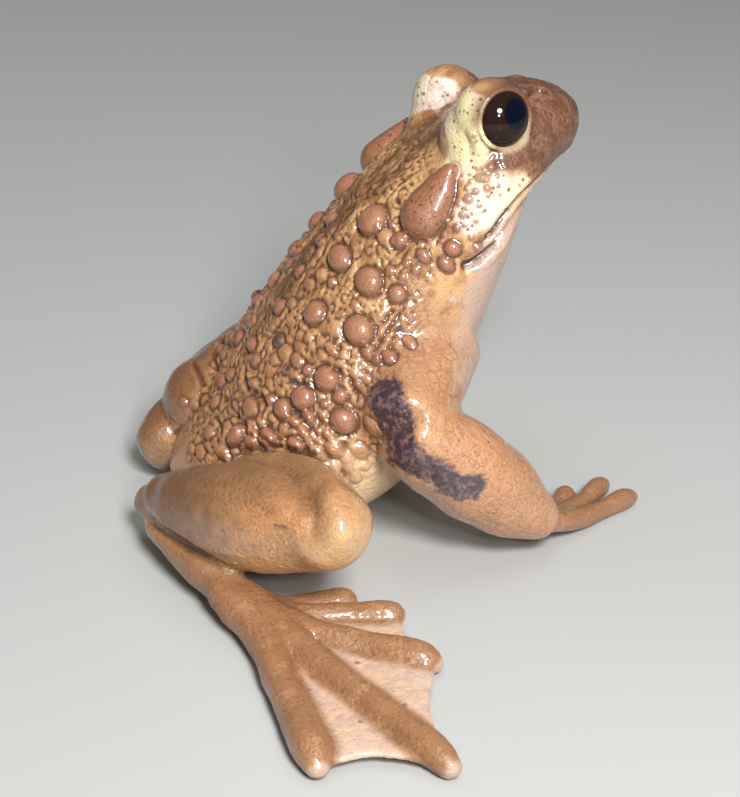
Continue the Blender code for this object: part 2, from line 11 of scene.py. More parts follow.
import bmesh
import bpy
import numpy as np
from mathutils import Matrix, Vector, noise
from mathutils.bvhtree import BVHTree
from mathutils.kdtree import KDTree


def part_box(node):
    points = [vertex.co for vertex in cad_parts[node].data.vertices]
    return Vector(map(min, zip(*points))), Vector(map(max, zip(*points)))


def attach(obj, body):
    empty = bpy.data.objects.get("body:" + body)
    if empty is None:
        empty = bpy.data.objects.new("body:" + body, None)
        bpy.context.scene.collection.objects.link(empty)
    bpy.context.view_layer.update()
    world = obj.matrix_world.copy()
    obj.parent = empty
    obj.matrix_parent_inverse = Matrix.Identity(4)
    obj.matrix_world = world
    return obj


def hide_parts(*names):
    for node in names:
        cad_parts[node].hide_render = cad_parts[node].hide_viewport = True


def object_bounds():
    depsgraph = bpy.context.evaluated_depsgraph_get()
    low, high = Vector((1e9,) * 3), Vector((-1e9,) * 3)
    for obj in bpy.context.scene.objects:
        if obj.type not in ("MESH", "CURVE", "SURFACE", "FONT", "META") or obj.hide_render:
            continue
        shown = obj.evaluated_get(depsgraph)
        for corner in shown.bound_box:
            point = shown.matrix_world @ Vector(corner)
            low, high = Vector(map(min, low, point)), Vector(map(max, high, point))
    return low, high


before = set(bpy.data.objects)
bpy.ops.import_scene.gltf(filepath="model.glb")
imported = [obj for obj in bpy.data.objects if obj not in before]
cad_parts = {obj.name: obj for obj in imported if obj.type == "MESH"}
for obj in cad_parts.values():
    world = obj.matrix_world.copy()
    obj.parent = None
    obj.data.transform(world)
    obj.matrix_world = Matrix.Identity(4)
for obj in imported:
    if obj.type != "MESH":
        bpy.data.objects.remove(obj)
cad_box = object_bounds()

MM = 0.001
SEED = 11
SIDES = ("right", "left")

# Trunk and head, from vent to snout: back (x, z), belly (x, z), half width, widest level, squareness,
# and how many degrees the body rolls to raise its right side
TRUNK_ROWS = (
    ((-20.6, 6.6), (-20.3, 3.2), 2.6, 0.50, 2.0, 0),
    ((-19.3, 9.0), (-17.2, 1.6), 8.0, 0.52, 2.0, 0),
    ((-15.6, 14.2), (-11.5, -0.5), 14.2, 0.55, 2.1, 0),
    ((-11.2, 21.0), (-2.6, -0.4), 17.6, 0.56, 2.1, 0),
    ((-5.2, 29.8), (7.0, 4.2), 17.8, 0.55, 2.1, 0),
    ((0.4, 37.0), (12.8, 12.0), 15.6, 0.52, 2.1, 0),
    ((4.6, 41.0), (15.6, 20.0), 14.4, 0.46, 2.2, 0),
    ((8.2, 43.8), (17.8, 27.4), 14.4, 0.42, 2.3, 2),
    ((11.2, 46.4), (19.6, 32.8), 14.2, 0.44, 2.4, 5),
    ((14.4, 48.7), (20.8, 36.9), 13.2, 0.50, 2.5, 8),
    ((18.0, 50.7), (22.6, 40.2), 11.4, 0.54, 2.6, 9),
    ((22.0, 51.7), (24.6, 42.4), 9.2, 0.55, 2.6, 9),
    ((25.6, 51.3), (26.9, 43.8), 6.5, 0.55, 2.4, 9),
    ((28.0, 49.8), (28.3, 45.2), 3.8, 0.52, 2.2, 9),
)
SNOUT_TIP = (29.2, 0.0, 47.6)
VENT_TIP = (-21.4, 0.0, 5.0)

# Eyes
EYE_CENTRE = {"right": Vector((16.2, -8.9, 50.6)), "left": Vector((15.8, 9.6, 47.0))}
EYE_LOOK = {"right": (0.30, -0.93, 0.18), "left": (0.30, 0.95, 0.02)}
PUPIL_LOOK = {"right": (0.46, -0.82, 0.34), "left": (0.46, 0.86, 0.20)}
EYE_RADIUS = 3.8
LID_RADIUS = 4.45
LID_SINK = 0.6
BROW_PLACE = (-0.6, 2.4, -3.0)
BROW_RADIUS = 5.1
LID_OPEN = 57.0             # half the angle of the eye's opening, in degrees
LID_EDGE = 0.30             # how far the lid's edge stands over the eyeball
EYE_DOWN = Vector((0.28, 0, -0.96))     # toward the lower lid
EYE_SINK = 0.7              # how far the skin turns in behind the lid's edge
LID_DROOP = 4.0             # how many degrees the upper lid hangs lower than the rest
LID_ROLL = 0.10
# Folds under the eye: degrees past the lid's edge, height, and width in degrees
UNDER_EYE = ((11, -0.26, 3.5), (21, 0.28, 7.0), (34, -0.22, 5.0))

# Limbs, right and left
SHOULDER = {"right": (9.0, -9.5, 23.5), "left": (9.0, 9.5, 23.5)}
ELBOW = {"right": (3.2, -20.2, 17.8), "left": (7.2, 18.6, 18.0)}
WRIST = {"right": (20.0, -21.0, 4.2), "left": (12.5, 21.5, 4.0)}
HAND_AIM = {"right": (0.707, 0.707), "left": (0.34, 0.94)}
HIP = {"right": (-13.5, -6.5, 5.2), "left": (-14.6, 7.5, 9.7)}
KNEE = {"right": (-8.6, -33.6, 13.6), "left": (0.0, 26.4, 9.3)}
HEEL = {"right": (-24.6, -8.6, 5.1), "left": (-20.4, 7.5, 5.2)}
FOOT_ROOT = {"right": (-18.8, -27.0, 3.2), "left": (-15.5, 24.0, 3.0)}
FOOT_AIM = {"right": math.radians(-62.0), "left": math.radians(36.0)}
FOOT_SPREAD = {"right": 1.0, "left": 0.62}
THIGH_RADII = {"right": (4.6, 5.6, 6.2, 5.8, 5.0), "left": (6.2, 6.3, 6.2, 5.8, 5.0)}
SHANK_RADII = {"right": (4.6, 5.9, 6.2, 5.3, 3.9, 3.1), "left": (4.4, 5.6, 5.9, 5.2, 4.5, 4.1)}
UPPER_ARM_RADII = (6.4, 5.8, 5.2)
FOREARM_RADII = (4.8, 5.4, 5.5, 4.8, 3.6, 2.3)
TARSUS_RADII = (3.1, 3.2, 3.1, 2.5)
TARSUS_FLATNESS = 0.85

# Toes from first to fifth: the tip ahead of the foot's root and to the inner side, where the toe
# leaves the sole in the same way, and its thickness
TOES = (
    ((8.6, 11.6), (4.0, 3.8), 1.35),
    ((14.6, 13.6), (6.5, 3.6), 1.45),
    ((24.8, 9.8), (9.0, 2.2), 1.65),
    ((39.7, -2.2), (9.5, 0.0), 1.75),
    ((31.0, -12.7), (8.5, -2.4), 1.9),
)
TOE_ROOT_LIFT = 1.2
WEB_THICKNESS = 0.8
WEB_REACH = 0.94            # of the way to the toes' tips
WEB_HOLLOW = 0.16           # how far its edge is drawn in between two toes
WEB_SINK = 0.35             # below the middle lines of the toes
# Fingers from first to fourth: length from the wrist, angle from the third, thickness
FINGERS = ((11.0, 40.0, 1.2), (14.0, 12.0, 1.25), (18.5, 0.0, 1.25), (18.0, -14.5, 1.25))

# The skin's mesh
BOX = 1.2                   # edge of the boxes that its points are sorted into
BLEND = 0.4                 # how far one part's skin reaches into the next one's
SKIN_VOXEL = 0.17
ROUNDS = (0.32 / SKIN_VOXEL) ** 2   # how many more rounds of softening a finer mesh needs

# Glands behind the eyes: share from vent to snout and angle from the back at the front and back end
GLAND_FRONT = (0.590, 43)
GLAND_BACK = (0.494, 46)
GLAND_STATIONS = (0, 0.3, 0.75, 1)      # shares of its length at which the half widths are given
GLAND_HALF_WIDTH = (1.2, 2.2, 2.9, 2.8)
GLAND_HEIGHT = 2.1
GLAND_GROOVE = 0.3
MOUTH_LINE = ((13.4, -14.4, 38.0), (14.6, -14.2, 38.8), (15.6, -13.9, 40.0), (17.6, -13.3, 41.7),
              (20.0, -12.0, 42.9), (22.6, -10.2, 43.3), (25.2, -6.6, 43.8), (27.3, -3.2, 44.6),
              (28.3, 0.0, 45.1))
JAW_LINE = ((10.8, -14.3, 34.6), (12.4, -14.2, 34.9), (13.6, -14.1, 35.6), (14.8, -13.8, 36.6),
            (16.0, -13.4, 37.9), (17.2, -12.8, 39.2), (19.0, -11.6, 40.4), (22.6, -7.0, 41.4),
            (24.2, 0.0, 41.8))
NOSTRIL = (22.9, -4.6, 52.2)
CANTHUS = ((18.0, -8.0, 52.6), (19.4, -6.6, 52.7), (21.0, -5.2, 52.8), (22.4, -3.6, 53.0))
# Places that lie on the furrow at the knee, as seen from the side and above
KNEE_FURROW = ((-18.6, -36.0, 23.8), (-16.3, -36.0, 23.3), (-13.8, -36.0, 22.0), (-12.2, -36.0, 19.9),
               (-11.2, -36.0, 17.6), (-11.0, -36.0, 15.4), (-11.5, -36.0, 12.9), (-12.4, -36.0, 11.0))
FROM_THE_SIDE = Vector((-0.22, -0.87, 0.44))
DARK_PATCH = ((-0.2, -20.0, 22.6), (0.4, -22.0, 20.4), (1.3, -23.4, 18.0), (2.9, -24.5, 15.8),
              (5.2, -25.0, 14.2), (7.6, -25.2, 13.0), (9.6, -24.8, 12.4))
KNEE_FRONT = (3.0, -4.0, -3.0)      # the paler front of the knee, from the joint
# Where the skin of the head is cream: place and radius
CREAM = (((14.2, -13.3, 43.1), 3.3), ((12.2, -14.2, 40.4), 2.6), ((16.6, -13.2, 42.9), 2.3),
         ((18.8, -12.4, 43.3), 1.5), ((12.4, -9.6, 47.2), 2.2), ((11.0, -9.3, 46.0), 1.8),
         ((13.2, -11.5, 46.2), 2.4))

# Great warts of the right side: share of the way from vent to snout, angle round from the middle
# of the back, radius, and how much longer it is across the body than along it
WARTS = (
    (0.415, 22, 2.00, 1.0), (0.355, 20, 1.55, 1.3), (0.369, 42, 1.65, 1.1), (0.305, 27, 1.60, 1.0),
    (0.333, 51, 1.75, 1.1), (0.284, 52, 1.50, 1.1), (0.256, 49, 1.50, 1.0), (0.281, 71, 1.50, 1.1),
    (0.437, 44, 1.20, 0.8), (0.261, 19, 0.95, 1.1), (0.333, 25, 0.70, 1.0), (0.388, 33, 0.50, 1.0),
    (0.439, 34, 0.50, 1.0), (0.391, 59, 1.10, 1.0), (0.459, 62, 0.70, 1.4), (0.427, 55, 0.50, 1.0),
    (0.400, 49, 0.60, 1.2), (0.412, 57, 0.55, 1.0), (0.434, 62, 0.50, 1.0), (0.290, 62, 0.95, 1.0),
    (0.233, 45, 1.20, 1.1), (0.200, 31, 1.15, 1.4), (0.214, 23, 1.00, 1.0), (0.165, 38, 1.60, 0.7),
    (0.155, 6, 1.00, 1.2), (0.128, 22, 1.00, 1.2), (0.204, 51, 1.15, 1.3), (0.232, 63, 0.95, 1.3),
    (0.252, 57, 0.85, 1.2), (0.276, 6, 1.10, 1.0), (0.236, 4, 1.00, 1.3), (0.311, 3, 1.05, 0.8),
    (0.368, -3, 1.05, 0.8), (0.334, 62, 0.85, 2.0), (0.351, 72, 0.90, 1.1), (0.227, 37, 0.75, 1.0),
    (0.273, 42, 0.70, 1.0), (0.229, 14, 0.95, 1.1), (0.193, 3, 0.90, 1.3), (0.308, 65, 0.60, 1.0),
    (0.272, 59, 0.60, 1.0), (0.318, 10, 0.80, 1.0), (0.507, 79, 0.98, 1.0), (0.483, 80, 0.80, 1.4),
    (0.176, 22, 0.90, 1.2), (0.182, 47, 0.80, 1.4), (0.345, 3, 0.80, 0.9), (0.300, 13, 0.60, 1.0),
)
# How deep the lines of the skin are pressed in, and how high what stands beside them
FURROW_DEPTH = 0.42
MOUTH_DEPTH = 0.5
LIP_HEIGHT = 0.2
JAW_DEPTH = 1.1
JAW_ROLL = 0.4
NOSTRIL_DEPTH = 1.3
CANTHUS_DEPTH = 0.4
KNEE_FURROW_DEPTH = 1.0
# Folds between two parts: depth and width, and how much of it each side shows
CREASES = (("trunk", "thigh", 0.8, 0.5), ("thigh", "shank", 0.5, 0.45), ("shank", "tarsus", 0.7, 0.5))
CREASE_SHARE = {"right": 1.0, "left": 0.15}
BODY_AIM = Vector((0.72, 0.0, 0.69))    # the way the sloping body points
WART_HEIGHT = 0.62          # of the radius
WART_MOAT = 0.25            # depth of the groove round a wart, of its height
WART_REACH = 1.2            # none where a limb covers the trunk by more than this
# How often a small wart, dome or granule is tried
CHEEK_TRIES = 60
DOME_TRIES = 1200
GRANULE_TRIES = 3200
FAINT = 1e-9                # keeps the odds above nothing everywhere
TRUNK_LENGTH = 62.0         # along the back, for the run of the folds
TRUNK_RADIUS = 15.0
FOLD_HEIGHT = 0.20
WAVE_HEIGHT = 0.24
SNOUT_SLANT = np.array(((0.86, 0.0, 0.50), (0.0, 1.0, 0.0), (-0.50, 0.0, 0.86)))
# Where painted shade darkens the legs toward the rear: from this x to that, and how much
REAR_SHADE = {"right": (-16, -24, 1.0), "left": (-4, -14, 0.9)}
# Dark spots of the right flank: share, angle and radius
SPOTS = ((0.261, 19, 0.95), (0.372, 69, 0.65), (0.256, 33, 0.60), (0.259, 41, 0.55), (0.270, 48, 0.60),
         (0.206, 21, 0.40), (0.318, 13, 0.40), (0.247, 72, 0.40), (0.470, 26, 0.40))
# Furrows of the right flank, as places by share and angle
FURROWS = (
    ((0.398, 66), (0.365, 64), (0.341, 63), (0.326, 65)),
    ((0.380, 61), (0.365, 60), (0.350, 58)),
    ((0.240, 47), (0.245, 51), (0.249, 57), (0.252, 63), (0.258, 70)),
    ((0.190, 38), (0.196, 44), (0.202, 52), (0.210, 58), (0.224, 66), (0.236, 72)),
    ((0.246, 29), (0.252, 35), (0.258, 42), (0.270, 46)),
    ((0.217, 8), (0.209, 15), (0.210, 24), (0.219, 31), (0.220, 40)),
    ((0.379, 5), (0.359, 6), (0.338, 8), (0.322, 9), (0.296, 9)),
    ((0.178, 12), (0.176, 24), (0.182, 33), (0.184, 42)),
    ((0.290, 12), (0.272, 13), (0.250, 12), (0.236, 14)),
    ((0.146, 14), (0.145, 24), (0.148, 34)),
    ((0.300, 72), (0.304, 64), (0.300, 56), (0.292, 50)),
)
# Small warts of the cheek: x, z and radius
CHEEK_SIDE = -13.4
CHEEK_WARTS = (
    (13.1, 45.3, 0.62), (13.9, 45.0, 0.58), (14.6, 46.6, 0.52), (12.8, 43.5, 0.45), (14.1, 43.8, 0.50),
    (14.2, 42.9, 0.32), (12.0, 42.6, 0.58), (11.3, 42.8, 0.28), (11.4, 44.2, 0.38), (11.8, 45.1, 0.38),
    (13.2, 41.8, 0.34), (11.4, 40.8, 0.50), (11.8, 41.5, 0.30), (12.4, 40.9, 0.24), (10.0, 40.9, 0.44),
    (10.7, 42.2, 0.38), (9.3, 40.1, 0.30), (10.8, 39.3, 0.50), (11.7, 39.6, 0.32), (12.8, 40.1, 0.34),
    (9.0, 38.6, 0.40), (8.8, 37.7, 0.36), (15.4, 45.2, 0.34), (15.4, 44.0, 0.34), (15.6, 42.9, 0.22),
    (16.5, 46.3, 0.34), (12.2, 38.3, 0.42), (12.9, 37.1, 0.55), (13.5, 38.4, 0.45), (9.2, 47.2, 0.32),
    (11.2, 48.8, 0.30), (11.6, 47.8, 0.26), (12.2, 47.1, 0.30), (12.7, 46.7, 0.24), (13.5, 46.5, 0.30),
    (11.3, 46.3, 0.26), (12.8, 48.6, 0.24), (16.2, 45.2, 0.20), (10.3, 38.0, 0.22), (9.9, 39.4, 0.20),
)


def mirrored(place, side):
    """A place on the right-hand side, turned over for the left side."""
    return Vector((place[0], place[1] * (1 if side == "right" else -1), place[2]))


def spline(rows, steps):
    """Points of a smooth curve through the rows of numbers, with that many steps a span."""
    rows = np.asarray(rows, float)
    ends = np.vstack([2 * rows[0] - rows[1], rows, 2 * rows[-1] - rows[-2]])
    before, start, end, after = ends[:-3], ends[1:-2], ends[2:-1], ends[3:]
    made = []
    for i in range(len(rows) - 1):
        for t in np.arange(steps) / steps:
            rise = end[i] - before[i]
            bend = 2 * before[i] - 5 * start[i] + 4 * end[i] - after[i]
            twist = 3 * start[i] - before[i] - 3 * end[i] + after[i]
            made.append(start[i] + 0.5 * (rise * t + bend * t**2 + twist * t**3))
    made.append(rows[-1])
    return np.array(made)


class Flesh:
    """Gathers the closed pieces of flesh that are fused into one skin."""

    def __init__(self):
        self.corners = []
        self.faces = []

    def add(self, corners, faces):
        """Adds one closed piece; its faces count from its own first corner."""
        start = len(self.corners)
        self.corners += [tuple(p) for p in corners]
        self.faces += [[start + i for i in face] for face in faces]

    def add_rings(self, rings, first_tip, last_tip):
        """A closed piece through rings of points, with a fan at each end."""
        count = len(rings[0])
        corners = [p for ring in rings for p in ring] + [first_tip, last_tip]
        faces = []
        for row in range(len(rings) - 1):
            for k in range(count):
                a, b = row * count + k, row * count + (k + 1) % count
                faces.append((a, b, b + count, a + count))
        last = (len(rings) - 1) * count
        for k in range(count):
            step = (k + 1) % count
            faces.append((step, k, len(corners) - 2))
            faces.append((last + k, last + step, len(corners) - 1))
        self.add(corners, faces)

    def add_tube(self, path, radii, sides=20, steps=5, flatten=1.0):
        """A limb or digit along the path with a radius at each point."""
        points = spline([(*p, r) for p, r in zip(path, radii)], steps)
        middle, radius = points[:, :3], points[:, 3]
        rings = []
        for i, centre in enumerate(middle):
            along = Vector(middle[min(i + 1, len(middle) - 1)] - middle[max(i - 1, 0)]).normalized()
            side = along.cross(Vector((0, 0, 1))).normalized()
            top = side.cross(along)
            turns = [2 * math.pi * k / sides for k in range(sides)]
            rings.append([
                Vector(centre) + (side * math.cos(a) + top * (flatten * math.sin(a))) * radius[i]
                for a in turns
            ])
        first = Vector(middle[0]) - Vector(middle[1] - middle[0]).normalized() * radius[0] * 0.5
        last = Vector(middle[-1]) + Vector(middle[-1] - middle[-2]).normalized() * radius[-1] * 0.5
        self.add_rings(rings, first, last)

    def add_ball(self, centre, radius, sides=40, rows=24):
        """A round piece, such as a lid's dome."""
        rings = []
        for i in range(1, rows):
            a = math.pi * i / rows
            rings.append([
                centre + Vector((math.sin(a) * math.cos(t), math.sin(a) * math.sin(t), math.cos(a))) * radius
                for t in (2 * math.pi * k / sides for k in range(sides))
            ])
        self.add_rings(rings, centre + Vector((0, 0, radius)), centre - Vector((0, 0, radius)))


def trunk_place(row, angle):
    """The place on the trunk at that row, that many radians round from the middle of the back."""
    back, belly, (width, level, square, roll) = row[0:2], row[2:4], row[4:8]
    s, c = math.sin(angle), math.cos(angle)
    power = 2.0 / square
    lift = math.copysign(abs(c) ** power, c)
    share = level * (1 - lift) if lift > 0 else level - (1 - level) * lift
    across = -math.copysign(abs(s) ** power, s) * width
    deep = math.dist(back, belly)
    depth, tilt = (share - level) * deep, math.radians(roll)
    rolled = level + (depth * math.cos(tilt) + across * math.sin(tilt)) / deep
    x, z = back + (belly - back) * rolled
    return (x, across * math.cos(tilt) - depth * math.sin(tilt), z)


TRUNK_STEPS = 20            # steps between two rows of the trunk
TURNS = 120                 # and places round each
TRUNK_LINES = spline([(*back, *belly, *shape) for back, belly, *shape in TRUNK_ROWS], TRUNK_STEPS)


def trunk_at(share, degrees):
    """The place on the trunk at that share of the way from vent to snout; the right side is positive."""
    row = TRUNK_LINES[int(round(share * (len(TRUNK_LINES) - 1)))]
    return np.array(trunk_place(row, math.radians(degrees)))


def rounded(path, radii):
    """The path and radii of a limb, carried on to a round end."""
    tip, wide = path[-1], radii[-1]
    along = (tip - path[-2]).normalized() * wide
    return path + [tip + along * 0.6, tip + along * 0.9], (*radii, wide * 0.82, wide * 0.44)


def limb_paths(side):
    """The middle line, radii and flattening of each limb of one side."""
    def between(start, end, shares):
        return [Vector(start).lerp(Vector(end), share) for share in shares]

    return {
        "upper_arm": (between(SHOULDER[side], ELBOW[side], (0, 0.5, 1)), UPPER_ARM_RADII, 1.0),
        "forearm": (
            between(ELBOW[side], WRIST[side], (0, 0.25, 0.5, 0.75, 0.92, 1.05)), FOREARM_RADII, 1.0,
        ),
        "thigh": (*rounded(between(HIP[side], KNEE[side], (0, 0.3, 0.6, 0.85, 1)), THIGH_RADII[side]), 1.0),
        "shank": (
            *rounded(between(KNEE[side], HEEL[side], (0.02, 0.2, 0.42, 0.7, 0.9, 1.0)), SHANK_RADII[side]),
            1.0,
        ),
        "tarsus": (
            between(HEEL[side], FOOT_ROOT[side], (0, 0.3, 0.7, 1)), TARSUS_RADII, TARSUS_FLATNESS,
        ),
    }


def toe_paths(side):
    """The middle line of each toe, from the root of the foot over the sole to the tip."""
    aim, spread = FOOT_AIM[side], FOOT_SPREAD[side]
    root = Vector(FOOT_ROOT[side]).to_2d()
    ahead = Vector((math.cos(aim), math.sin(aim)))
    inner = Vector((-ahead.y, ahead.x)) * (1 if side == "right" else -1)
    paths = []
    for (out, across), (leave_out, leave_across), thick in TOES:
        start = root + inner * leave_across * 0.45
        leave = root + ahead * leave_out + inner * leave_across * 0.9
        reach, turn = math.hypot(out, across * spread), math.atan2(across * spread, out)
        tip = root + (ahead * math.cos(turn) + inner * math.sin(turn)) * reach
        heights = (thick + TOE_ROOT_LIFT, thick * 1.15, thick * 0.95, thick * 0.98, thick * 0.6)
        spots = (start, leave, leave.lerp(tip, 0.45), leave.lerp(tip, 0.86), tip)
        paths.append([Vector((*spot, z)) for spot, z in zip(spots, heights)])
    return paths


def finger_paths(side):
    """The middle line of each finger, from the wrist to the tip."""
    root = Vector(WRIST[side])
    aim = math.atan2(HAND_AIM[side][1], HAND_AIM[side][0])
    paths = []
    for length, angle, thick in FINGERS:
        turn = aim + math.radians(angle) * (1 if side == "right" else -1)
        ahead = Vector((math.cos(turn), math.sin(turn), 0.0))
        heights = (root.z - 0.6, thick * 1.3, thick * 0.95, thick * 0.9, thick * 0.6)
        spots = [root + ahead * length * share for share in (0.0, 0.4, 0.65, 0.88, 1.0)]
        paths.append([Vector((spot.x, spot.y, z)) for spot, z in zip(spots, heights)])
    return paths


def digit_radii(thick):
    """A toe's or finger's radii from root to tip, with a slight swelling before the tip."""
    return (thick * 1.1, thick * 1.1, thick * 0.95, thick * 1.12, thick * 0.62)


def web_between(flesh, one, two, across=12, out=24):
    """A thin membrane between two neighbouring toes, with a hollow outer edge."""
    line_a, line_b = spline(one, 8), spline(two, 8)
    spans = len(line_a) - 1
    sheets = []
    for lift in (-0.5, 0.5):
        for i in range(out + 1):
            for k in range(across + 1):
                t = k / across
                hollow = 1 - WEB_HOLLOW * math.sin(math.pi * t)
                at = i / out * WEB_REACH * hollow * spans
                low = int(min(at, spans - 1))
                a = line_a[low] + (line_a[low + 1] - line_a[low]) * (at - low)
                b = line_b[low] + (line_b[low + 1] - line_b[low]) * (at - low)
                x, y, z = a + (b - a) * t
                z = max(z - WEB_SINK, WEB_THICKNESS / 2) + lift * WEB_THICKNESS
                sheets.append((x, y, max(z, 0.05)))
    row, sheet = across + 1, (across + 1) * (out + 1)
    faces = []
    for i in range(out):
        for k in range(across):
            a = i * row + k
            faces.append((a, a + 1, a + row + 1, a + row))
            faces.append((sheet + a + row, sheet + a + row + 1, sheet + a + 1, sheet + a))
    rim = [i * row for i in range(out)] + [out * row + k for k in range(across)]
    rim += [i * row + across for i in range(out, 0, -1)] + list(range(across, 0, -1))
    for a, b in zip(rim, rim[1:] + rim[:1]):
        faces.append((a, b, sheet + b, sheet + a))
    flesh.add(sheets, faces)


def evaluated(obj):
    """Applies the object's modifiers to its mesh."""
    bpy.context.view_layer.update()
    graph = bpy.context.evaluated_depsgraph_get()
    mesh = bpy.data.meshes.new_from_object(obj.evaluated_get(graph))
    obj.modifiers.clear()
    obj.data = mesh
    return obj


def add_object(name, mesh):
    """A new object of that mesh in the scene."""
    obj = bpy.data.objects.new(name, mesh)
    bpy.context.scene.collection.objects.link(obj)
    return obj


def fused_flesh():
    """All the flesh as one closed mesh of even small faces."""
    flesh = Flesh()
    turns = [2 * math.pi * k / 72 for k in range(72)]
    rings = [[trunk_place(row, -a) for a in turns] for row in TRUNK_LINES[::4]]
    flesh.add_rings(rings, VENT_TIP, SNOUT_TIP)
    for side in SIDES:
        flesh.add_ball(EYE_CENTRE[side] - Vector(EYE_LOOK[side]) * LID_SINK, LID_RADIUS)
        flesh.add_ball(EYE_CENTRE[side] + mirrored(BROW_PLACE, side), BROW_RADIUS)
        flesh.add_ball(Vector(HIP[side]), THIGH_RADII[side][0])
        for path, radii, flatten in limb_paths(side).values():
            flesh.add_tube(path, radii, flatten=flatten)
        toes = toe_paths(side)
        for path, (*_, thick) in zip(toes, TOES):
            flesh.add_tube(path, digit_radii(thick), sides=14)
        for one, two in zip(toes, toes[1:]):
            web_between(flesh, one, two)
        for path, (*_, thick) in zip(finger_paths(side), FINGERS):
            flesh.add_tube(path, digit_radii(thick), sides=14)
    mesh = bpy.data.meshes.new("skin")
    mesh.from_pydata([Vector(p) * MM for p in flesh.corners], [], flesh.faces)
    bm = bmesh.new()
    bm.from_mesh(mesh)
    bmesh.ops.recalc_face_normals(bm, faces=bm.faces)
    bm.to_mesh(mesh)
    bm.free()
    skin = add_object("skin", mesh)
    remesh = skin.modifiers.new("Remesh", "REMESH")
    remesh.mode = "VOXEL"
    remesh.voxel_size = SKIN_VOXEL * MM
    return evaluated(skin)


class Surface:
    """The skin's points in millimetres, with what is measured on them."""

    def __init__(self, obj):
        self.mesh = obj.data
        self.count = len(self.mesh.vertices)
        self.points = self.read("vertices", "co", 3).reshape(-1, 3) / MM
        self.edges = self.read("edges", "vertices", 2, np.int32).reshape(-1, 2)
        self.degree = np.bincount(self.edges.ravel(), minlength=self.count)[:, None]
        self.masks = {}
        self.lift = np.zeros(self.count)
        self.edge = np.zeros(self.count)
        self.refresh()
        self.sort()

    def sort(self):
        """Sorts the points into small boxes, so that those near a place are found quickly."""
        self.low = self.points.min(axis=0)
        self.shape = np.ceil((self.points.max(axis=0) - self.low) / BOX).astype(int) + 1
        box = ((self.points - self.low) / BOX).astype(int)
        key = (box[:, 0] * self.shape[1] + box[:, 1]) * self.shape[2] + box[:, 2]
        self.order = np.argsort(key, kind="stable")
        self.starts = np.searchsorted(key[self.order], np.arange(self.shape.prod() + 1))

    def read(self, group, value, width, kind=np.float32):
        items = getattr(self.mesh, group)
        data = np.empty(len(items) * width, kind)
        items.foreach_get(value, data)
        return data

    def distance(self, place):
        """Each point's distance to a place."""
        return np.linalg.norm(self.points - np.array(place), axis=1)

    def refresh(self):
        """Writes the points to the mesh and takes its normals."""
        self.mesh.vertices.foreach_set("co", (self.points * MM).astype(np.float32).ravel())
        self.mesh.update()
        self.normals = self.read("vertices", "normal", 3).reshape(-1, 3)

    def soften(self, rounds, amount=0.5):
        """Moves each point toward the mean of its neighbours, by as much as amount says there."""
        one, two = self.edges.T
        amount = np.broadcast_to(np.asarray(amount, float).reshape(-1, 1), (self.count, 1))
        for _ in range(rounds):
            total = np.empty_like(self.points)
            for axis in range(3):
                line = self.points[:, axis]
                total[:, axis] = np.bincount(one, line[two], self.count)
                total[:, axis] += np.bincount(two, line[one], self.count)
            self.points += (total / self.degree - self.points) * amount
        self.refresh()

    def spread(self, values, rounds):
        """A mask softened over its neighbours."""
        one, two = self.edges.T
        for _ in range(rounds):
            total = np.bincount(one, values[two], self.count) + np.bincount(two, values[one], self.count)
            values = 0.5 * values + 0.5 * total / self.degree[:, 0]
        return values

    def push(self, height):
        """Moves the points along their normals."""
        self.points += self.normals * height[:, None]
        self.refresh()

    def near(self, place, reach):
        """The points within reach of a place, with their offsets from it."""
        place = np.asarray(place)
        first = np.maximum(((place - reach - self.low) / BOX).astype(int), 0)
        last = np.minimum(((place + reach - self.low) / BOX).astype(int), self.shape - 1)
        found = [np.zeros(0, int)]
        for i in range(first[0], last[0] + 1):
            for j in range(first[1], last[1] + 1):
                row = (i * self.shape[1] + j) * self.shape[2]
                found.append(self.order[self.starts[row + first[2]] : self.starts[row + last[2] + 1]])
        chosen = np.concatenate(found)
        offset = self.points[chosen] - place
        inside = (offset**2).sum(axis=1) < reach**2
        return chosen[inside], offset[inside]

    def away_from(self, line, reach=1e9):
        """Each point's distance to the line of places and its share of the way along, 0 to 1."""
        line = np.asarray(line, float)
        away = np.full(self.count, 1e3)
        share = np.zeros(self.count)
        lows, highs = line.min(axis=0) - reach, line.max(axis=0) + reach
        chosen = np.flatnonzero(((self.points > lows) & (self.points < highs)).all(axis=1))
        points, spans = self.points[chosen], len(line) - 1
        best, place = np.full(len(chosen), 1e3), np.zeros(len(chosen))
        for i in range(spans):
            along = line[i + 1] - line[i]
            t = np.clip((points - line[i]) @ along / max(along @ along, 1e-9), 0, 1)
            gap = np.linalg.norm(points - (line[i] + t[:, None] * along), axis=1)
            closer = gap < best
            best[closer] = gap[closer]
            place[closer] = ((i + t) / spans)[closer]
        away[chosen], share[chosen] = best, place
        return away, share

    def tree(self):
        return BVHTree.FromPolygons(self.points.tolist(), [p.vertices[:] for p in self.mesh.polygons])

    def store(self, name, values):
        """Keeps a mask on the mesh for the material."""
        layer = self.mesh.attributes.new(name, "FLOAT", "POINT")
        layer.data.foreach_set("value", np.clip(values, 0, 1).astype(np.float32))


def step(values, low, high):
    """A smooth step: 0 below low and 1 above high, or the other way round if high is below low."""
    t = np.clip((values - low) / (high - low), 0, 1)
    return t * t * (3 - 2 * t)


def bell(values, width):
    """1 where the value is 0, fading to 0 on both sides."""
    return np.exp(-((values / width) ** 2))


def run_out(share, first, last):
    """Fades in up to the first share of a line and out from the last."""
    return step(share, 0.0, first) * step(share, 1.0, last)


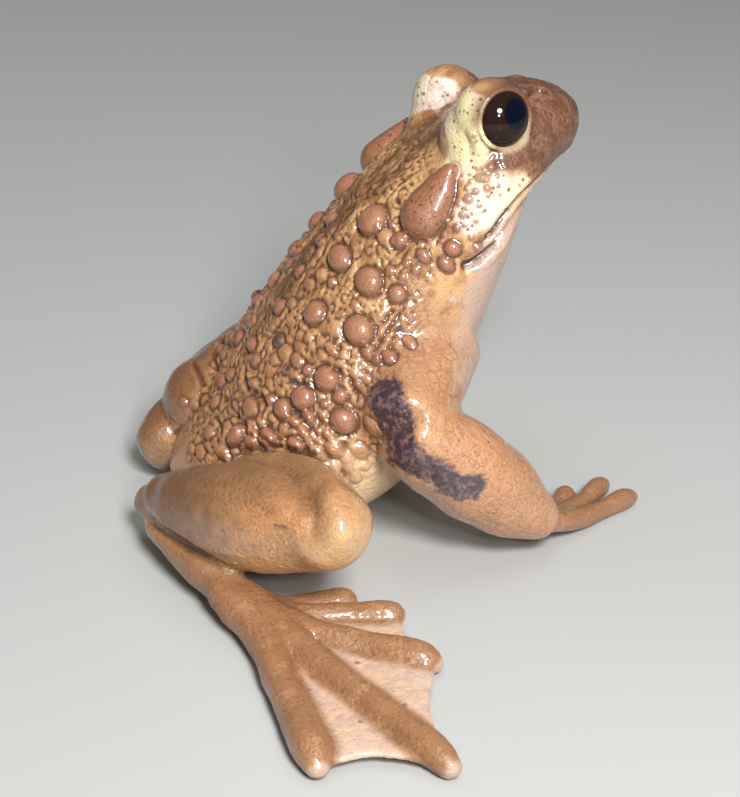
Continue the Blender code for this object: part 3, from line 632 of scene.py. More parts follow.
def digits(surface, paths, rows):
    """How far each point lies past the nearest digit's skin, and its share of the way along it."""
    lines = [surface.away_from(spline(path, 3)) for path in paths]
    radii = [np.interp(share, np.linspace(0, 1, 5), digit_radii(row[2]))
             for (_, share), row in zip(lines, rows)]
    beyond = np.array([away - radius for (away, _), radius in zip(lines, radii)])
    shares = np.array([share for _, share in lines])
    return beyond.min(axis=0), shares[beyond.argmin(axis=0), np.arange(surface.count)]


def regions(surface):
    """How much of each point belongs to the trunk, to each kind of limb, to a toe, a web or a finger."""
    tree = KDTree(len(TRUNK_LINES) * TURNS)
    for i, row in enumerate(TRUNK_LINES):
        for k in range(TURNS):
            tree.insert(trunk_place(row, math.pi * 2 * k / TURNS - math.pi), i * TURNS + k)
    tree.balance()
    surface.trunk_tree = tree
    found = [tree.find(p) for p in surface.points.tolist()]
    index = np.array([index for _, index, _ in found])
    surface.share = index // TURNS / (len(TRUNK_LINES) - 1)
    surface.turn = 360 * (index % TURNS) / TURNS - 180
    gaps = {"trunk": np.array([gap for *_, gap in found])}
    for side in SIDES:
        for name, (path, radii, _) in limb_paths(side).items():
            away, share = surface.away_from(spline(path, 3))
            radius = np.interp(share, np.linspace(0, 1, len(radii)), radii)
            gaps[f"{name}_{side}"] = np.abs(away - radius)
        beyond, surface.masks["along_toe_" + side] = digits(surface, toe_paths(side), TOES)
        gaps["toe_" + side] = np.clip(beyond, 0, None)
        surface.masks["web_" + side] = step(beyond, 0.1, 1.6)
        surface.masks["seam_" + side] = step(beyond, -0.7, 0.0) * step(beyond, 1.6, 0.6)
        beyond, surface.masks["along_finger_" + side] = digits(surface, finger_paths(side), FINGERS)
        gaps["hand_" + side] = np.clip(beyond, 0, None)
    surface.gaps = gaps
    weights = {name: np.exp(-gap / BLEND) for name, gap in gaps.items()}
    total = sum(weights.values()) + 1e-6
    for name, weight in weights.items():
        surface.masks[name] = weight / total
    surface.masks["web"] = sum(
        surface.masks["web_" + side] * surface.masks["toe_" + side] for side in SIDES
    )


def trunk_key(tree, place):
    """The share from vent to snout, and the angle from the back, of the nearest place on the trunk."""
    index = tree.find(Vector(place))[1]
    return index // TURNS / (len(TRUNK_LINES) - 1), 360 * (index % TURNS) / TURNS - 180


def on_side(surface, tree, place, side):
    """The skin's point nearest to a place of the right side, or to its like on the left."""
    if side == "left":
        share, angle = trunk_key(surface.trunk_tree, place)
        place = trunk_at(share, -angle)
    return np.array(tree.find_nearest(Vector(place))[0])


def both(surface, name):
    """The mask of a part, right and left together."""
    return surface.masks[name + "_right"] + surface.masks[name + "_left"]


def dome(surface, place, radius, height, stretch=1.0):
    """Raises a round wart and gives its mask; stretch lengthens it across the body."""
    chosen, offset = surface.near(place, radius * max(stretch, 1.0) * 1.7)
    if not len(chosen):
        return chosen, np.zeros(0)
    normal = surface.normals[chosen[np.argmin((offset**2).sum(axis=1))]]
    across = np.array(BODY_AIM.cross(Vector(normal)).normalized())
    offset = offset - np.outer(offset @ normal, normal) * 0.5
    part = offset @ across
    squared = (offset**2).sum(axis=1) - part**2 + (part / stretch) ** 2
    ratio = np.sqrt(squared) / radius
    raised = height * np.clip(1 - ratio**2.4, 0, 1) ** 0.7
    raised = raised - WART_MOAT * height * bell(ratio - 1.12, 0.15)
    surface.lift[chosen] += raised
    # the edge mask paints shade round the foot of each wart
    surface.edge[chosen] = np.maximum(surface.edge[chosen], bell(ratio - 0.98, 0.16))
    return chosen, step(ratio, 1.1, 0.88)


def raise_glands(surface, tree):
    """The long gland behind each eye, wider and higher toward its rear, in a narrow groove."""
    gland = np.zeros(surface.count)
    surface.taken = []
    for side in (1, -1):
        ends = [trunk_at(share, angle * side) for share, angle in (GLAND_FRONT, GLAND_BACK)]
        line = [tree.find_nearest(Vector(p))[0] for p in spline(ends, 8)]
        away, share = surface.away_from(line, 6)
        half = np.interp(share, GLAND_STATIONS, GLAND_HALF_WIDTH)
        ratio = away / half
        raised = np.clip(1 - ratio**2.2, 0, 1) ** 0.75
        surface.lift += GLAND_HEIGHT * raised * (0.55 + 0.45 * share)
        surface.lift -= GLAND_GROOVE * bell(ratio - 1.1, 0.12)
        gland = np.maximum(gland, step(ratio, 1.08, 0.92))
        widths = np.interp(np.linspace(0, 1, len(line)), GLAND_STATIONS, GLAND_HALF_WIDTH)
        surface.taken += [(place, width + 0.2) for place, width in zip(line, widths)]
    surface.masks["gland"] = gland


def raise_warts(surface, tree):
    """The great warts, placed on the right and drawn at random on the left."""
    warts = np.zeros(surface.count)
    chance = random.Random(SEED)
    rows = list(WARTS)
    for share, angle, radius, stretch in WARTS:
        shift = chance.uniform(-0.025, 0.025), chance.uniform(-7, 7)
        rows.append((share + shift[0], -angle - 4 + shift[1], radius * chance.uniform(0.8, 1.1), stretch))
    for share, angle, radius, stretch in rows:
        place, _, _, gap = tree.find_nearest(Vector(trunk_at(share, angle)))
        if gap > WART_REACH:
            continue
        chosen, mask = dome(surface, place, radius, radius * WART_HEIGHT, stretch)
        warts[chosen] = np.maximum(warts[chosen], mask)
        surface.taken.append((place, radius * max(stretch, 1)))
    surface.masks["wart"] = warts
    dots = np.zeros(surface.count)
    for side in SIDES:
        for x, z, radius in CHEEK_WARTS:
            place = on_side(surface, tree, (x, CHEEK_SIDE, z), side)
            chosen, mask = dome(surface, place, radius * 0.95, radius * 0.6)
            dots[chosen] = np.maximum(dots[chosen], mask)
            surface.taken.append((place, radius + 0.3))
    surface.masks["dot"] = dots
    surface.masks["edge"] = surface.edge.copy()


def press_furrows(surface, tree):
    """The long furrows of both flanks, with painted shade along them, and the dark spots."""
    spots = np.zeros(surface.count)
    for side in (1, -1):
        for places in FURROWS:
            line = [tree.find_nearest(Vector(trunk_at(share, angle * side)))[0]
                    for share, angle in spline(places, 4)]
            away, along = surface.away_from(line, 2)
            ends = run_out(along, 0.15, 0.85)
            surface.lift += (0.12 * bell(away - 0.8, 0.4) - FURROW_DEPTH * bell(away, 0.3)) * ends
            # painted shade along the furrow
            spots = np.maximum(spots, 0.6 * bell(away, 0.22) * ends)
        for share, angle, radius in SPOTS:
            place = tree.find_nearest(Vector(trunk_at(share, angle * side)))[0]
            chosen, offset = surface.near(place, radius * 1.6)
            away = np.sqrt((offset**2).sum(axis=1)) / radius
            spots[chosen] = np.maximum(spots[chosen], step(away, 1.15, 0.7))
    surface.masks["spot"] = spots


def open_eyes(surface):
    """Draws the lids open round each eyeball, with a thin edge and a fold under it."""
    rim, lid = np.zeros(surface.count), np.zeros(surface.count)
    for side in SIDES:
        centre, look = EYE_CENTRE[side], np.array(Vector(EYE_LOOK[side]).normalized())
        chosen, offset = surface.near(centre, 7.0)
        away = np.linalg.norm(offset, axis=1)
        lean = np.degrees(np.arccos(np.clip(offset @ look / away, -1, 1)))
        across = np.array(Vector(look).cross(EYE_DOWN).normalized())
        height = -(offset @ np.cross(across, look)) / np.maximum(away, 1e-6)
        opening = LID_OPEN - LID_DROOP * np.clip(height, 0, 1) ** 2
        past = lean - opening
        edge = EYE_RADIUS + LID_EDGE
        outer = np.maximum(away, edge * step(past, 40, 0) + away * step(past, 0, 40))
        lower = step(height, 0.2, -0.3)
        outer = outer + LID_ROLL * bell(past - 3, 3.0)
        for place, rise, width in UNDER_EYE:
            outer = outer + rise * lower * bell(past - place, width)
        radius = (EYE_RADIUS - EYE_SINK) + (outer - EYE_RADIUS + EYE_SINK) * step(past, -1.5, 3.0)
        reach = step(away, 6.6, 5.2)
        target = away + (radius - away) * reach
        surface.points[chosen] += offset * ((target / away) - 1)[:, None]
        edged = bell(past - 1.4, 1.4) * step(target, 4.8, 4.4) * step(height, -0.05, -0.5)
        rim[chosen] = np.maximum(rim[chosen], edged)
        lid[chosen] = np.maximum(lid[chosen], step(past, 34, 6) * reach * step(height, -0.05, 0.4))
    surface.masks["rim"] = rim
    surface.masks["lid"] = lid
    surface.refresh()


def cut_mouth(surface, tree):
    """Presses in the mouth line, with a lip on either side, rolls the lower jaw and opens the nostrils; its
    mask paints shade into the mouth line, under the jaw, in the nostrils and along the canthus.
    """
    mouth = np.zeros(surface.count)
    for side in SIDES:
        line = [on_side(surface, tree, p, side) for p in spline(MOUTH_LINE, 8)]
        away, share = surface.away_from(line, 4)
        ends = step(share, 0.0, 0.08)
        surface.lift += (LIP_HEIGHT * bell(away - 0.85, 0.4) - MOUTH_DEPTH * bell(away, 0.26)) * ends
        mouth = np.maximum(mouth, bell(away, 0.26) * ends)
        jaw = [on_side(surface, tree, p, side) for p in spline(JAW_LINE, 8)]
        below, share = surface.away_from(jaw, 5)
        ends = step(share, 0.0, 0.06)
        roll = np.clip(1 - np.abs(away - below) / (away + below + 0.1), 0, 1) * step(away + below, 6.5, 4.0)
        surface.lift += (JAW_ROLL * roll * step(share, 0.75, 0.45) - JAW_DEPTH * bell(below, 0.8)) * ends
        mouth = np.maximum(mouth, 0.75 * bell(below, 0.7) * ends)
        place = on_side(surface, tree, NOSTRIL, side)
        away = surface.distance(place)
        surface.lift += 0.35 * bell(away - 1.0, 0.45) - NOSTRIL_DEPTH * bell(away, 0.42)
        mouth = np.maximum(mouth, bell(away, 0.5))
        line = [on_side(surface, tree, p, side) for p in spline(CANTHUS, 6)]
        away, share = surface.away_from(line, 3)
        ends = run_out(share, 0.2, 0.8)
        surface.lift += (0.22 * bell(away - 0.9, 0.5) - CANTHUS_DEPTH * bell(away, 0.3)) * ends
        mouth = np.maximum(mouth, 0.35 * bell(away, 0.3) * ends)
    surface.masks["mouth"] = mouth


def press_creases(surface, tree):
    """Folds where the limbs leave the trunk and where calf and thigh meet, and the furrow at the knee."""
    gaps = surface.gaps
    for side in SIDES:
        for one, two, depth, width in CREASES:
            first = gaps[one if one == "trunk" else f"{one}_{side}"]
            second = gaps[f"{two}_{side}"]
            fold = bell(first - second, width) * step(np.maximum(first, second), 3.0, 1.5)
            fold *= step(surface.distance(KNEE[side]), 13, 18)
            surface.lift -= CREASE_SHARE[side] * depth * fold
    line = [tree.ray_cast(Vector(p) + FROM_THE_SIDE * 30, -FROM_THE_SIDE)[0]
            for p in spline(KNEE_FURROW, 8)]
    away, share = surface.away_from(line, 6)
    ends = run_out(share, 0.5, 0.7)
    surface.lift += (0.35 * bell(away - 3.4, 1.6) - KNEE_FURROW_DEPTH * bell(away, 1.6)) * ends
    # the bend mask paints shade into the furrow at the knee
    surface.masks["bend"] = bell(away, 1.4) * ends


def back_and_flank(surface):
    """Weights of the granular skin: the flanks, the middle of the back and the upper arms."""
    turn, share = np.abs(surface.turn), surface.share
    trunk = surface.masks["trunk"]
    flank = trunk * step(turn, 8, 28) * step(turn, 112, 88)
    flank = flank * step(share, 0.05, 0.12) * step(share, 0.60, 0.50)
    flank *= 1 - step(turn, 62, 78) * step(share, 0.36, 0.42)
    back = trunk * step(turn, 30, 10) * step(share, 0.05, 0.12) * step(share, 0.75, 0.62)
    return flank, back, both(surface, "upper_arm") * (1 - trunk)


def scatter(surface, chance, weight, tries, low, high, height, stretch=1.0, room=0.95):
    """Domes at random places, as the weight says, none on another; gives their mask."""
    mask = np.zeros(surface.count)
    taken = {}
    def cell(p):
        return tuple(int(v // 2) for v in p)

    for place, radius in surface.taken:
        taken.setdefault(cell(place), []).append((place, radius))
    odds = weight / weight.sum()
    for index in chance.choice(surface.count, tries, p=odds):
        place = surface.points[index]
        radius = low + (high - low) * chance.random() ** 2
        home = cell(place)
        close = (
            spot
            for i in (-1, 0, 1) for j in (-1, 0, 1) for k in (-1, 0, 1)
            for spot in taken.get((home[0] + i, home[1] + j, home[2] + k), ())
        )
        if any(math.dist(place, other) < (radius + wide) * room for other, wide in close):
            continue
        taken.setdefault(home, []).append((place, radius))
        surface.taken.append((place, radius))
        long = stretch * chance.uniform(0.75, 1.25)
        chosen, part = dome(surface, place, radius, radius * height * chance.uniform(0.7, 1.2), long)
        mask[chosen] = np.maximum(mask[chosen], part)
    return mask


def noisy(places, seed=0.0):
    """Smooth noise at each place, about -1 to 1."""
    return np.array([noise.noise((x + seed, y, z)) for x, y, z in places.tolist()])


def scatter_domes(surface, flank, back):
    """Small warts of the cheeks, domes low on the flanks and granules over all the back; gives the domes."""
    chance = np.random.RandomState(SEED)
    share, turn = surface.share, np.abs(surface.turn)
    cheek = surface.masks["cream"] * step(share, 0.52, 0.56) * step(turn, 20, 40)
    small = scatter(surface, chance, cheek + FAINT, CHEEK_TRIES, 0.12, 0.24, 0.5, room=2.0)
    surface.masks["dot"] = np.maximum(surface.masks["dot"], small)
    low = flank * step(share, 0.36, 0.26) * step(turn, 100, 75) + 0.05 * flank
    domes = scatter(surface, chance, low + FAINT, DOME_TRIES, 0.5, 1.15, 0.5, 1.4, room=0.85)
    bare_spots = step(noisy(surface.points * 0.3, 4.0), -0.25, 0.2)
    rough = flank * (1 - 0.7 * step(share, 0.35, 0.43)) * bare_spots + 0.15 * back
    granules = scatter(surface, chance, rough + FAINT, GRANULE_TRIES, 0.18, 0.50, 0.45, 1.7, room=0.9)
    surface.masks["granule"] = np.maximum(domes, 0.6 * granules)
    return domes


def fold_flanks(surface, flank, back, bare, wander):
    """Folds that run along the flanks, and waves where the skin meets the thighs."""
    along, around = surface.share * TRUNK_LENGTH, np.radians(surface.turn) * TRUNK_RADIUS
    flow = np.stack([(along + 2 * wander) * 0.40, (around + 3 * wander) * 1.15, 0 * along], axis=1)
    folds = np.clip(1 - np.abs(noisy(flow)) * 3.4, -1, 1)
    surface.lift += FOLD_HEIGHT * folds * bare * (0.8 * flank + back) * step(surface.share, 0.64, 0.50)
    near_thigh = np.minimum(surface.gaps["thigh_right"], surface.gaps["thigh_left"])
    waves = np.sin(near_thigh * 3.4 + wander * 9) * step(near_thigh, 0.2, 1.0) * step(near_thigh, 8, 3)
    surface.lift += WAVE_HEIGHT * waves * flank * bare * step(surface.share, 0.42, 0.28)


def pebble(surface, flank, back, arm, bare, wander):
    """Pebbled skin between the warts, on the upper arms and on the dark patch."""
    patch = surface.masks["patch"]
    cells = np.zeros(surface.count)
    for i in np.flatnonzero((flank + back + arm + patch) > 0.05):
        x, y, z = surface.points[i]
        near, _ = noise.voronoi((x * 1.5, y * 1.5 + wander[i], z * 1.15))
        cells[i] = near[1] - near[0]
    pebbles = step(cells, 0.0, 0.8) - 0.5
    # the net mask darkens the gaps between pebbles: partly a brown net of the skin, partly painted shade in
    # the gaps
    surface.masks["net"] = step(cells, 0.22, 0.02) * bare * (flank + back)
    pebbled = flank * (1 - 0.5 * step(surface.share, 0.30, 0.42)) + 0.4 * back
    surface.lift += pebbles * bare * (0.22 * pebbled + 0.05 * arm + 0.14 * patch)


def crease_limbs(surface):
    """Fine creases of the belly and limbs, and a slight unevenness of the limbs."""
    points, turn = surface.points, np.abs(surface.turn)
    belly = surface.masks["trunk"] * step(turn, 80, 105) * step(surface.share, 0.38, 0.28)
    limbs = sum(both(surface, name) for name in ("forearm", "thigh", "shank", "tarsus"))
    limbs += both(surface, "toe") * (1 - surface.masks["web"])
    creases = 0.3 - np.abs(noisy(points * (0.8, 0.8, 2.2)))
    surface.lift += 0.12 * creases * belly + 0.08 * creases * limbs
    surface.lift += 0.06 * noisy(points * 2.6, 5.0) * limbs + 0.25 * noisy(points * 0.28, 6.0) * limbs


def wrinkle_snout(surface):
    """Wrinkles that run back from the snout, over the snout and the chin."""
    points, masks = surface.points, surface.masks
    snout = masks["snout"] + 0.6 * masks["throat"] * step(surface.share, 0.5, 0.6)
    slant = points @ SNOUT_SLANT.T
    surface.lift += 0.22 * (0.3 - np.abs(noisy(slant * (0.6, 1.9, 2.4)))) * snout
    surface.lift += 0.10 * noisy(points * 3.4, 7.0) * snout + 0.12 * noisy(points * 0.8, 2.0) * snout


def grain(surface):
    """Small domes and granules, pebbled skin and folds between the great warts."""
    flank, back, arm = back_and_flank(surface)
    domes = scatter_domes(surface, flank, back)
    bare = 1 - np.maximum(surface.masks["wart"], np.maximum(surface.masks["gland"], domes * 0.8))
    wander = noisy(surface.points * 0.35)
    fold_flanks(surface, flank, back, bare, wander)
    pebble(surface, flank, back, arm, bare, wander)
    crease_limbs(surface)
    wrinkle_snout(surface)
    surface.lift += 0.10 * noisy(surface.points * 1.1, 9.0) * surface.masks["web"]


def mark_head(surface, tree, wobble):
    """The cream cheeks and mounds behind the eyes, the brown snout and sockets and the pale throat."""
    points, masks = surface.points, surface.masks
    turn, share = np.abs(surface.turn), surface.share
    cream, socket = np.zeros(surface.count), np.zeros(surface.count)
    for side in SIDES:
        for place, radius in CREAM:
            centre = on_side(surface, tree, place, side)
            cream += bell(surface.distance(centre), radius * 0.85)
        offset = points - np.array(EYE_CENTRE[side])
        away = np.linalg.norm(offset, axis=1)
        rear = (offset @ np.array((-0.80, 0.0, 0.25))) / away
        cream += step(away, 6.4, 5.4) * step(rear, -0.05, 0.35) * step(offset[:, 2] / away, 0.86, 0.66)
        ahead = offset @ np.array((0.85, 0.0, -0.53)) / away
        socket = np.maximum(socket, step(ahead, -0.1, 0.3) * step(away + 0.8 * wobble, 7.6, 6.2))
    lip = [trunk_key(surface.trunk_tree, p) for p in spline(MOUTH_LINE, 4)]
    lip = sorted((where, abs(angle)) for where, angle in lip)
    border = np.interp(share, [where for where, _ in lip], [angle for _, angle in lip])
    border = np.where(share < lip[0][0], 96, border)
    under = step(turn - border + 14 * wobble * step(share, 0.75, 0.55), -4, 9)
    trunk = masks["trunk"] + both(surface, "upper_arm") * 0.6
    masks["throat"] = trunk * under * step(share, 0.26, 0.36) * (1 - socket)
    masks["cream"] = step(cream + 0.35 * wobble, 0.3, 0.85) * (1 - socket)
    masks["snout"] = np.maximum(masks["trunk"] * step(share + 0.02 * wobble, 0.70, 0.78), socket)


def mark_trunk(surface, wobble):
    """The yellow belly, the dark stripe of the back, and painted shade on the low rear flank and along the
    ridge of the back.
    """
    turn, share, trunk = np.abs(surface.turn), surface.share, surface.masks["trunk"]
    surface.masks["belly"] = trunk * (step(turn + 18 * wobble, 74, 96) * step(share, 0.40, 0.28))
    away = np.abs(turn - 5.5 * step(share, 0.2, 0.5))
    stripe = bell(away + 3 * wobble, 4.2) * step(share, 0.16, 0.30) * step(share, 0.82, 0.74)
    surface.masks["stripe"] = stripe * trunk
    shaded = trunk * step(share, 0.34, 0.18) * step(turn, 112, 90)
    # painted shade along the ridge of the back
    ridge = trunk * step(turn + 6 * wobble, 18, 4) * step(share, 0.74, 0.60)
    surface.masks["shade"] = np.clip(shaded + ridge, 0, 1)


def mark_arms(surface, tree, wobble):
    """The tan shoulders and the dark patch from the elbow down the forearm."""
    turn, share, masks = np.abs(surface.turn), surface.share, surface.masks
    patch = np.zeros(surface.count)
    for side in SIDES:
        shift = Vector(ELBOW[side]) - mirrored(ELBOW["right"], side)
        line = [tree.find_nearest(mirrored(p, side) + shift)[0] for p in spline(DARK_PATCH, 6)]
        away, along = surface.away_from(line, 6)
        patch = np.maximum(patch, step(away + 1.4 * wobble + 0.9 * along, 3.9, 1.2))
    masks["patch"] = patch
    masks["arm"] = both(surface, "forearm") + both(surface, "hand")
    joined = masks["trunk"] * step(turn + 8 * wobble, 56, 70) * step(share, 0.28, 0.34)
    joined = joined * step(share, 0.47, 0.40) * step(turn, 118, 98)
    masks["shoulder"] = both(surface, "upper_arm") + joined


def mark_legs(surface, wobble):
    """Painted shade toward the rear of the legs, their darker top, the pale knee and calf, the webs' hems
    and the pale tips.
    """
    points, masks = surface.points, surface.masks
    rear, knee, calf = np.zeros(surface.count), np.zeros(surface.count), np.zeros(surface.count)
    for side in SIDES:
        bent = masks["thigh_" + side] + masks["shank_" + side]
        first, last, most = REAR_SHADE[side]
        # painted shade toward the rear of the leg
        rear += most * bent * step(points[:, 0] + 3 * wobble, first, last)
        away = surface.distance(Vector(KNEE[side]) + mirrored(KNEE_FRONT, side))
        knee = np.maximum(knee, step(away + 1.6 * wobble, 10.0, 3.0) * bent)
        below = step(points[:, 2] + 1.5 * wobble - 0.32 * (points[:, 0] - HEEL[side][0]), 9.0, 2.0)
        calf = np.maximum(calf, masks["shank_" + side] * below)
    masks.update(rear=rear, knee=knee, calf=calf)
    faces_up = step(surface.normals[:, 2] + 0.3 * wobble, 0.35, 0.95)
    masks["dorsal"] = (0.4 * both(surface, "thigh") + both(surface, "shank")) * faces_up
    toe, finger = (
        np.maximum(*(masks[f"along_{digit}_{side}"] * masks[f"{part}_{side}"] for side in SIDES))
        for digit, part in (("toe", "toe"), ("finger", "hand"))
    )
    masks["tip"] = step(np.maximum(toe, finger), 0.93, 1.0)
    masks["hem"] = masks["web"] * step(toe, 0.70, 0.86)
    masks["foot"] = both(surface, "tarsus") + both(surface, "toe") + both(surface, "hand")


def mark_colours(surface, tree):
    """Where the skin is cream, pale, dark or striped."""
    wobble = noisy(surface.points * 0.5)
    mark_head(surface, tree, wobble)
    mark_trunk(surface, wobble)
    mark_arms(surface, tree, wobble)
    mark_legs(surface, wobble)
    surface.masks["limb"] = sum(
        both(surface, name) for name in ("forearm", "thigh", "shank", "tarsus", "toe", "hand")
    )


def find_hollows(surface):
    """How deep each point lies in a furrow; the furrow mask paints shade into the skin's hollows."""
    one, two = surface.edges.T
    hollow = np.zeros(surface.count)
    for axis in range(3):
        line = surface.points[:, axis]
        total = np.bincount(one, line[two], surface.count) + np.bincount(two, line[one], surface.count)
        hollow += (total / surface.degree[:, 0] - line) * surface.normals[:, axis]
    hollow = surface.spread(hollow, 3) / (SKIN_VOXEL**2)
    surface.masks["furrow"] = step(hollow, 0.01, 0.34)


def close_to_box(surface, shift):
    """Keeps the skin off the floor and inside the CAD box."""
    low, high = (np.array(corner) / MM - shift for corner in cad_box)
    surface.points = np.clip(surface.points, np.maximum(low, (-1e3, -1e3, 0.0)), high)
    surface.refresh()


# Joints that run smoothly into each other, and how much
SOFT_JOINTS = (("trunk", "upper_arm", 1.0), ("upper_arm", "forearm", 1.0), ("forearm", "hand", 0.6),
               ("trunk", "thigh", 0.3), ("thigh", "shank", 0.3), ("shank", "tarsus", 0.1),
               ("tarsus", "toe", 1.0))
# Bends that are softened as well: within the first distance a little, within the second in full
SOFT_PLACES = ((HEEL, 5.5, 4.0, 0.9), (KNEE, 9.0, 6.5, 1.0), (FOOT_ROOT, 5.0, 3.5, 1.0))


def make_skin():
    """Fuses the flesh, softens its joints, and works the skin's relief and marks into it."""
    obj = fused_flesh()
    surface = Surface(obj)
    surface.soften(round(5 * ROUNDS))
    regions(surface)
    joint = np.zeros(surface.count)
    for side in SIDES:
        for one, two, amount in SOFT_JOINTS:
            gap = np.maximum(surface.gaps[one if one == "trunk" else f"{one}_{side}"],
                             surface.gaps[f"{two}_{side}"])
            joint = np.maximum(joint, amount * step(gap, 3.0, 0.6))
        away = surface.distance(EYE_CENTRE[side])
        joint = np.maximum(joint, 0.8 * step(away, 8.0, 6.0) * step(away, 4.6, 5.2))
        joint = np.maximum(joint, 0.35 * surface.masks["seam_" + side] * surface.masks["toe_" + side])
        for places, far, near, amount in SOFT_PLACES:
            joint = np.maximum(joint, amount * step(surface.distance(places[side]), far, near))
    surface.soften(round(24 * ROUNDS), 0.55 * surface.spread(joint, round(6 * ROUNDS)))
    tree = surface.tree()
    surface.sort()
    mark_colours(surface, tree)
    raise_glands(surface, tree)
    raise_warts(surface, tree)
    press_furrows(surface, tree)
    cut_mouth(surface, tree)
    press_creases(surface, tree)
    grain(surface)
    surface.push(surface.spread(surface.lift, round(0.8 * ROUNDS)))
    surface.sort()
    open_eyes(surface)
    find_hollows(surface)
    return obj, surface


eye_box = np.array(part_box("eye_right")).mean(axis=0) / MM
SHIFT = Vector(eye_box) - EYE_CENTRE["right"]
SHIFT.z = 0.0

skin, hide = make_skin()
close_to_box(hide, np.array(SHIFT))
MARKS = ("wart", "gland", "rim", "mouth", "cream", "dot", "granule", "throat", "belly", "snout", "stripe",
         "patch", "limb", "arm", "tip", "furrow", "web", "knee", "calf", "spot", "lid", "hem", "foot",
         "shade", "shoulder", "rear", "bend", "dorsal", "net", "edge")
for name in MARKS:
    hide.store(name, hide.masks[name])
skin.data.transform(Matrix.Translation(SHIFT * MM))
skin.data.polygons.foreach_set("use_smooth", [True] * len(skin.data.polygons))


class Value:
    """A shader socket that takes part in Python expressions; each operator adds a Math node."""

    def __init__(self, paint, socket):
        self.paint = paint
        self.socket = socket

    def math(self, operation, *values):
        return self.paint.node("ShaderNodeMath", {"operation": operation}, dict(enumerate(values)))

    def __add__(self, other):
        return self.math("ADD", self, other)

    def __radd__(self, other):
        return self.math("ADD", other, self)

    def __sub__(self, other):
        return self.math("SUBTRACT", self, other)

    def __rsub__(self, other):
        return self.math("SUBTRACT", other, self)

    def __mul__(self, other):
        return self.math("MULTIPLY", self, other)

    def __rmul__(self, other):
        return self.math("MULTIPLY", other, self)

    def __pow__(self, other):
        return self.math("POWER", self, other)


class Paint:
    """One material: its nodes, and the Principled BSDF that they feed."""

    def __init__(self, name, **constants):
        self.material = bpy.data.materials.new(name)
        self.material.use_nodes = True
        self.tree = self.material.node_tree
        self.shader = self.tree.nodes["Principled BSDF"]
        for socket, value in constants.items():
            self.shader.inputs[socket.replace("_", " ").title().replace("Ior", "IOR")].default_value = value

    def feed(self, socket, value):
        if isinstance(value, Value):
            self.tree.links.new(value.socket, socket)
        else:
            socket.default_value = value

    def node(self, kind, settings=None, sockets=None, output=0):
        """Any node: its type, its settings, and the values or links of its sockets."""
        made = self.tree.nodes.new(kind)
        for name, value in (settings or {}).items():
            setattr(made, name, value)
        for key, value in (sockets or {}).items():
            self.feed(made.inputs[key], value)
        return Value(self, made.outputs[output])

    def mask(self, name):
        return self.node("ShaderNodeAttribute", {"attribute_name": name}, output="Fac")

    def place(self):
        return self.node("ShaderNodeTexCoord", output="Object")

    def noise(self, size, detail=3.0, roughness=0.55, seed=0.0):
        """Soft noise of about that size in millimetres, from 0 to 1."""
        where = self.node("ShaderNodeVectorMath", {"operation": "ADD"}, {0: self.place(), 1: (seed,) * 3})
        sockets = {"Vector": where, "Scale": 1 / (size * MM), "Detail": detail, "Roughness": roughness}
        return self.node("ShaderNodeTexNoise", sockets=sockets)

    def cells(self, size, feature="F1", output="Distance", seed=0.0):
        where = self.node("ShaderNodeVectorMath", {"operation": "ADD"}, {0: self.place(), 1: (seed,) * 3})
        sockets = {"Vector": where, "Scale": 1 / (size * MM)}
        return self.node("ShaderNodeTexVoronoi", {"feature": feature}, sockets, output)

    def between(self, value, low, high):
        """A smooth step of the value from 0 at low to 1 at high."""
        sockets = {"Value": value, "From Min": low, "From Max": high}
        return self.node("ShaderNodeMapRange", {"interpolation_type": "SMOOTHSTEP"}, sockets)

    def mix(self, one, two, share):
        """A colour between two, by the share of the second."""
        colours = {6: one, 7: two}
        sockets = {key: (*c, 1.0) if isinstance(c, tuple) else c for key, c in colours.items()}
        return self.node("ShaderNodeMix", {"data_type": "RGBA"}, {0: share, **sockets}, output=2)

    def layers(self, colour, *rows):
        """The colour with each row's tone laid over it by the row's share."""
        for tone, share in rows:
            colour = self.mix(colour, tone, share)
        return colour

    def bump(self, height, distance, strength=1.0, normal=None):
        sockets = {"Height": height, "Distance": distance * MM, "Strength": strength}
        if normal is not None:
            sockets["Normal"] = normal
        return self.node("ShaderNodeBump", sockets=sockets)


OCHRE = (0.58, 0.33, 0.140)
OCHRE_DARK = (0.30, 0.125, 0.045)
WART_BROWN = (0.30, 0.118, 0.068)
GLAND_BROWN = (0.27, 0.105, 0.055)
CREAM_YELLOW = (0.82, 0.70, 0.38)
CREAM_WHITE = (0.74, 0.60, 0.51)
THROAT_PINK = (0.54, 0.365, 0.275)
BELLY_YELLOW = (0.71, 0.49, 0.265)
SNOUT_BROWN = (0.13, 0.050, 0.026)
SNOUT_TAN = (0.24, 0.115, 0.060)
ARM_ORANGE = (0.50, 0.250, 0.135)
LIMB_ORANGE = (0.60, 0.275, 0.118)
SHOULDER_TAN = (0.34, 0.165, 0.075)
LIMB_OLIVE = (0.38, 0.20, 0.075)
LIMB_YELLOW = (0.72, 0.50, 0.25)
FOOT_BROWN = (0.27, 0.125, 0.060)
WEB_TAN = (0.60, 0.410, 0.280)
WEB_MAUVE = (0.50, 0.34, 0.285)
TIP_PALE = (0.60, 0.45, 0.35)
LEG_BROWN = (0.17, 0.075, 0.028)
PATCH_BLACK = (0.040, 0.022, 0.032)
PATCH_PURPLE = (0.15, 0.082, 0.078)
# dark brown of specks, pits, ticks and the stripe, and of painted shade in hollows, gaps and round the warts
DARK_MARK_AND_SHADE_BROWN = (0.085, 0.032, 0.014)
MOUTH_AND_CREASE_SHADE = (0.06, 0.018, 0.014)


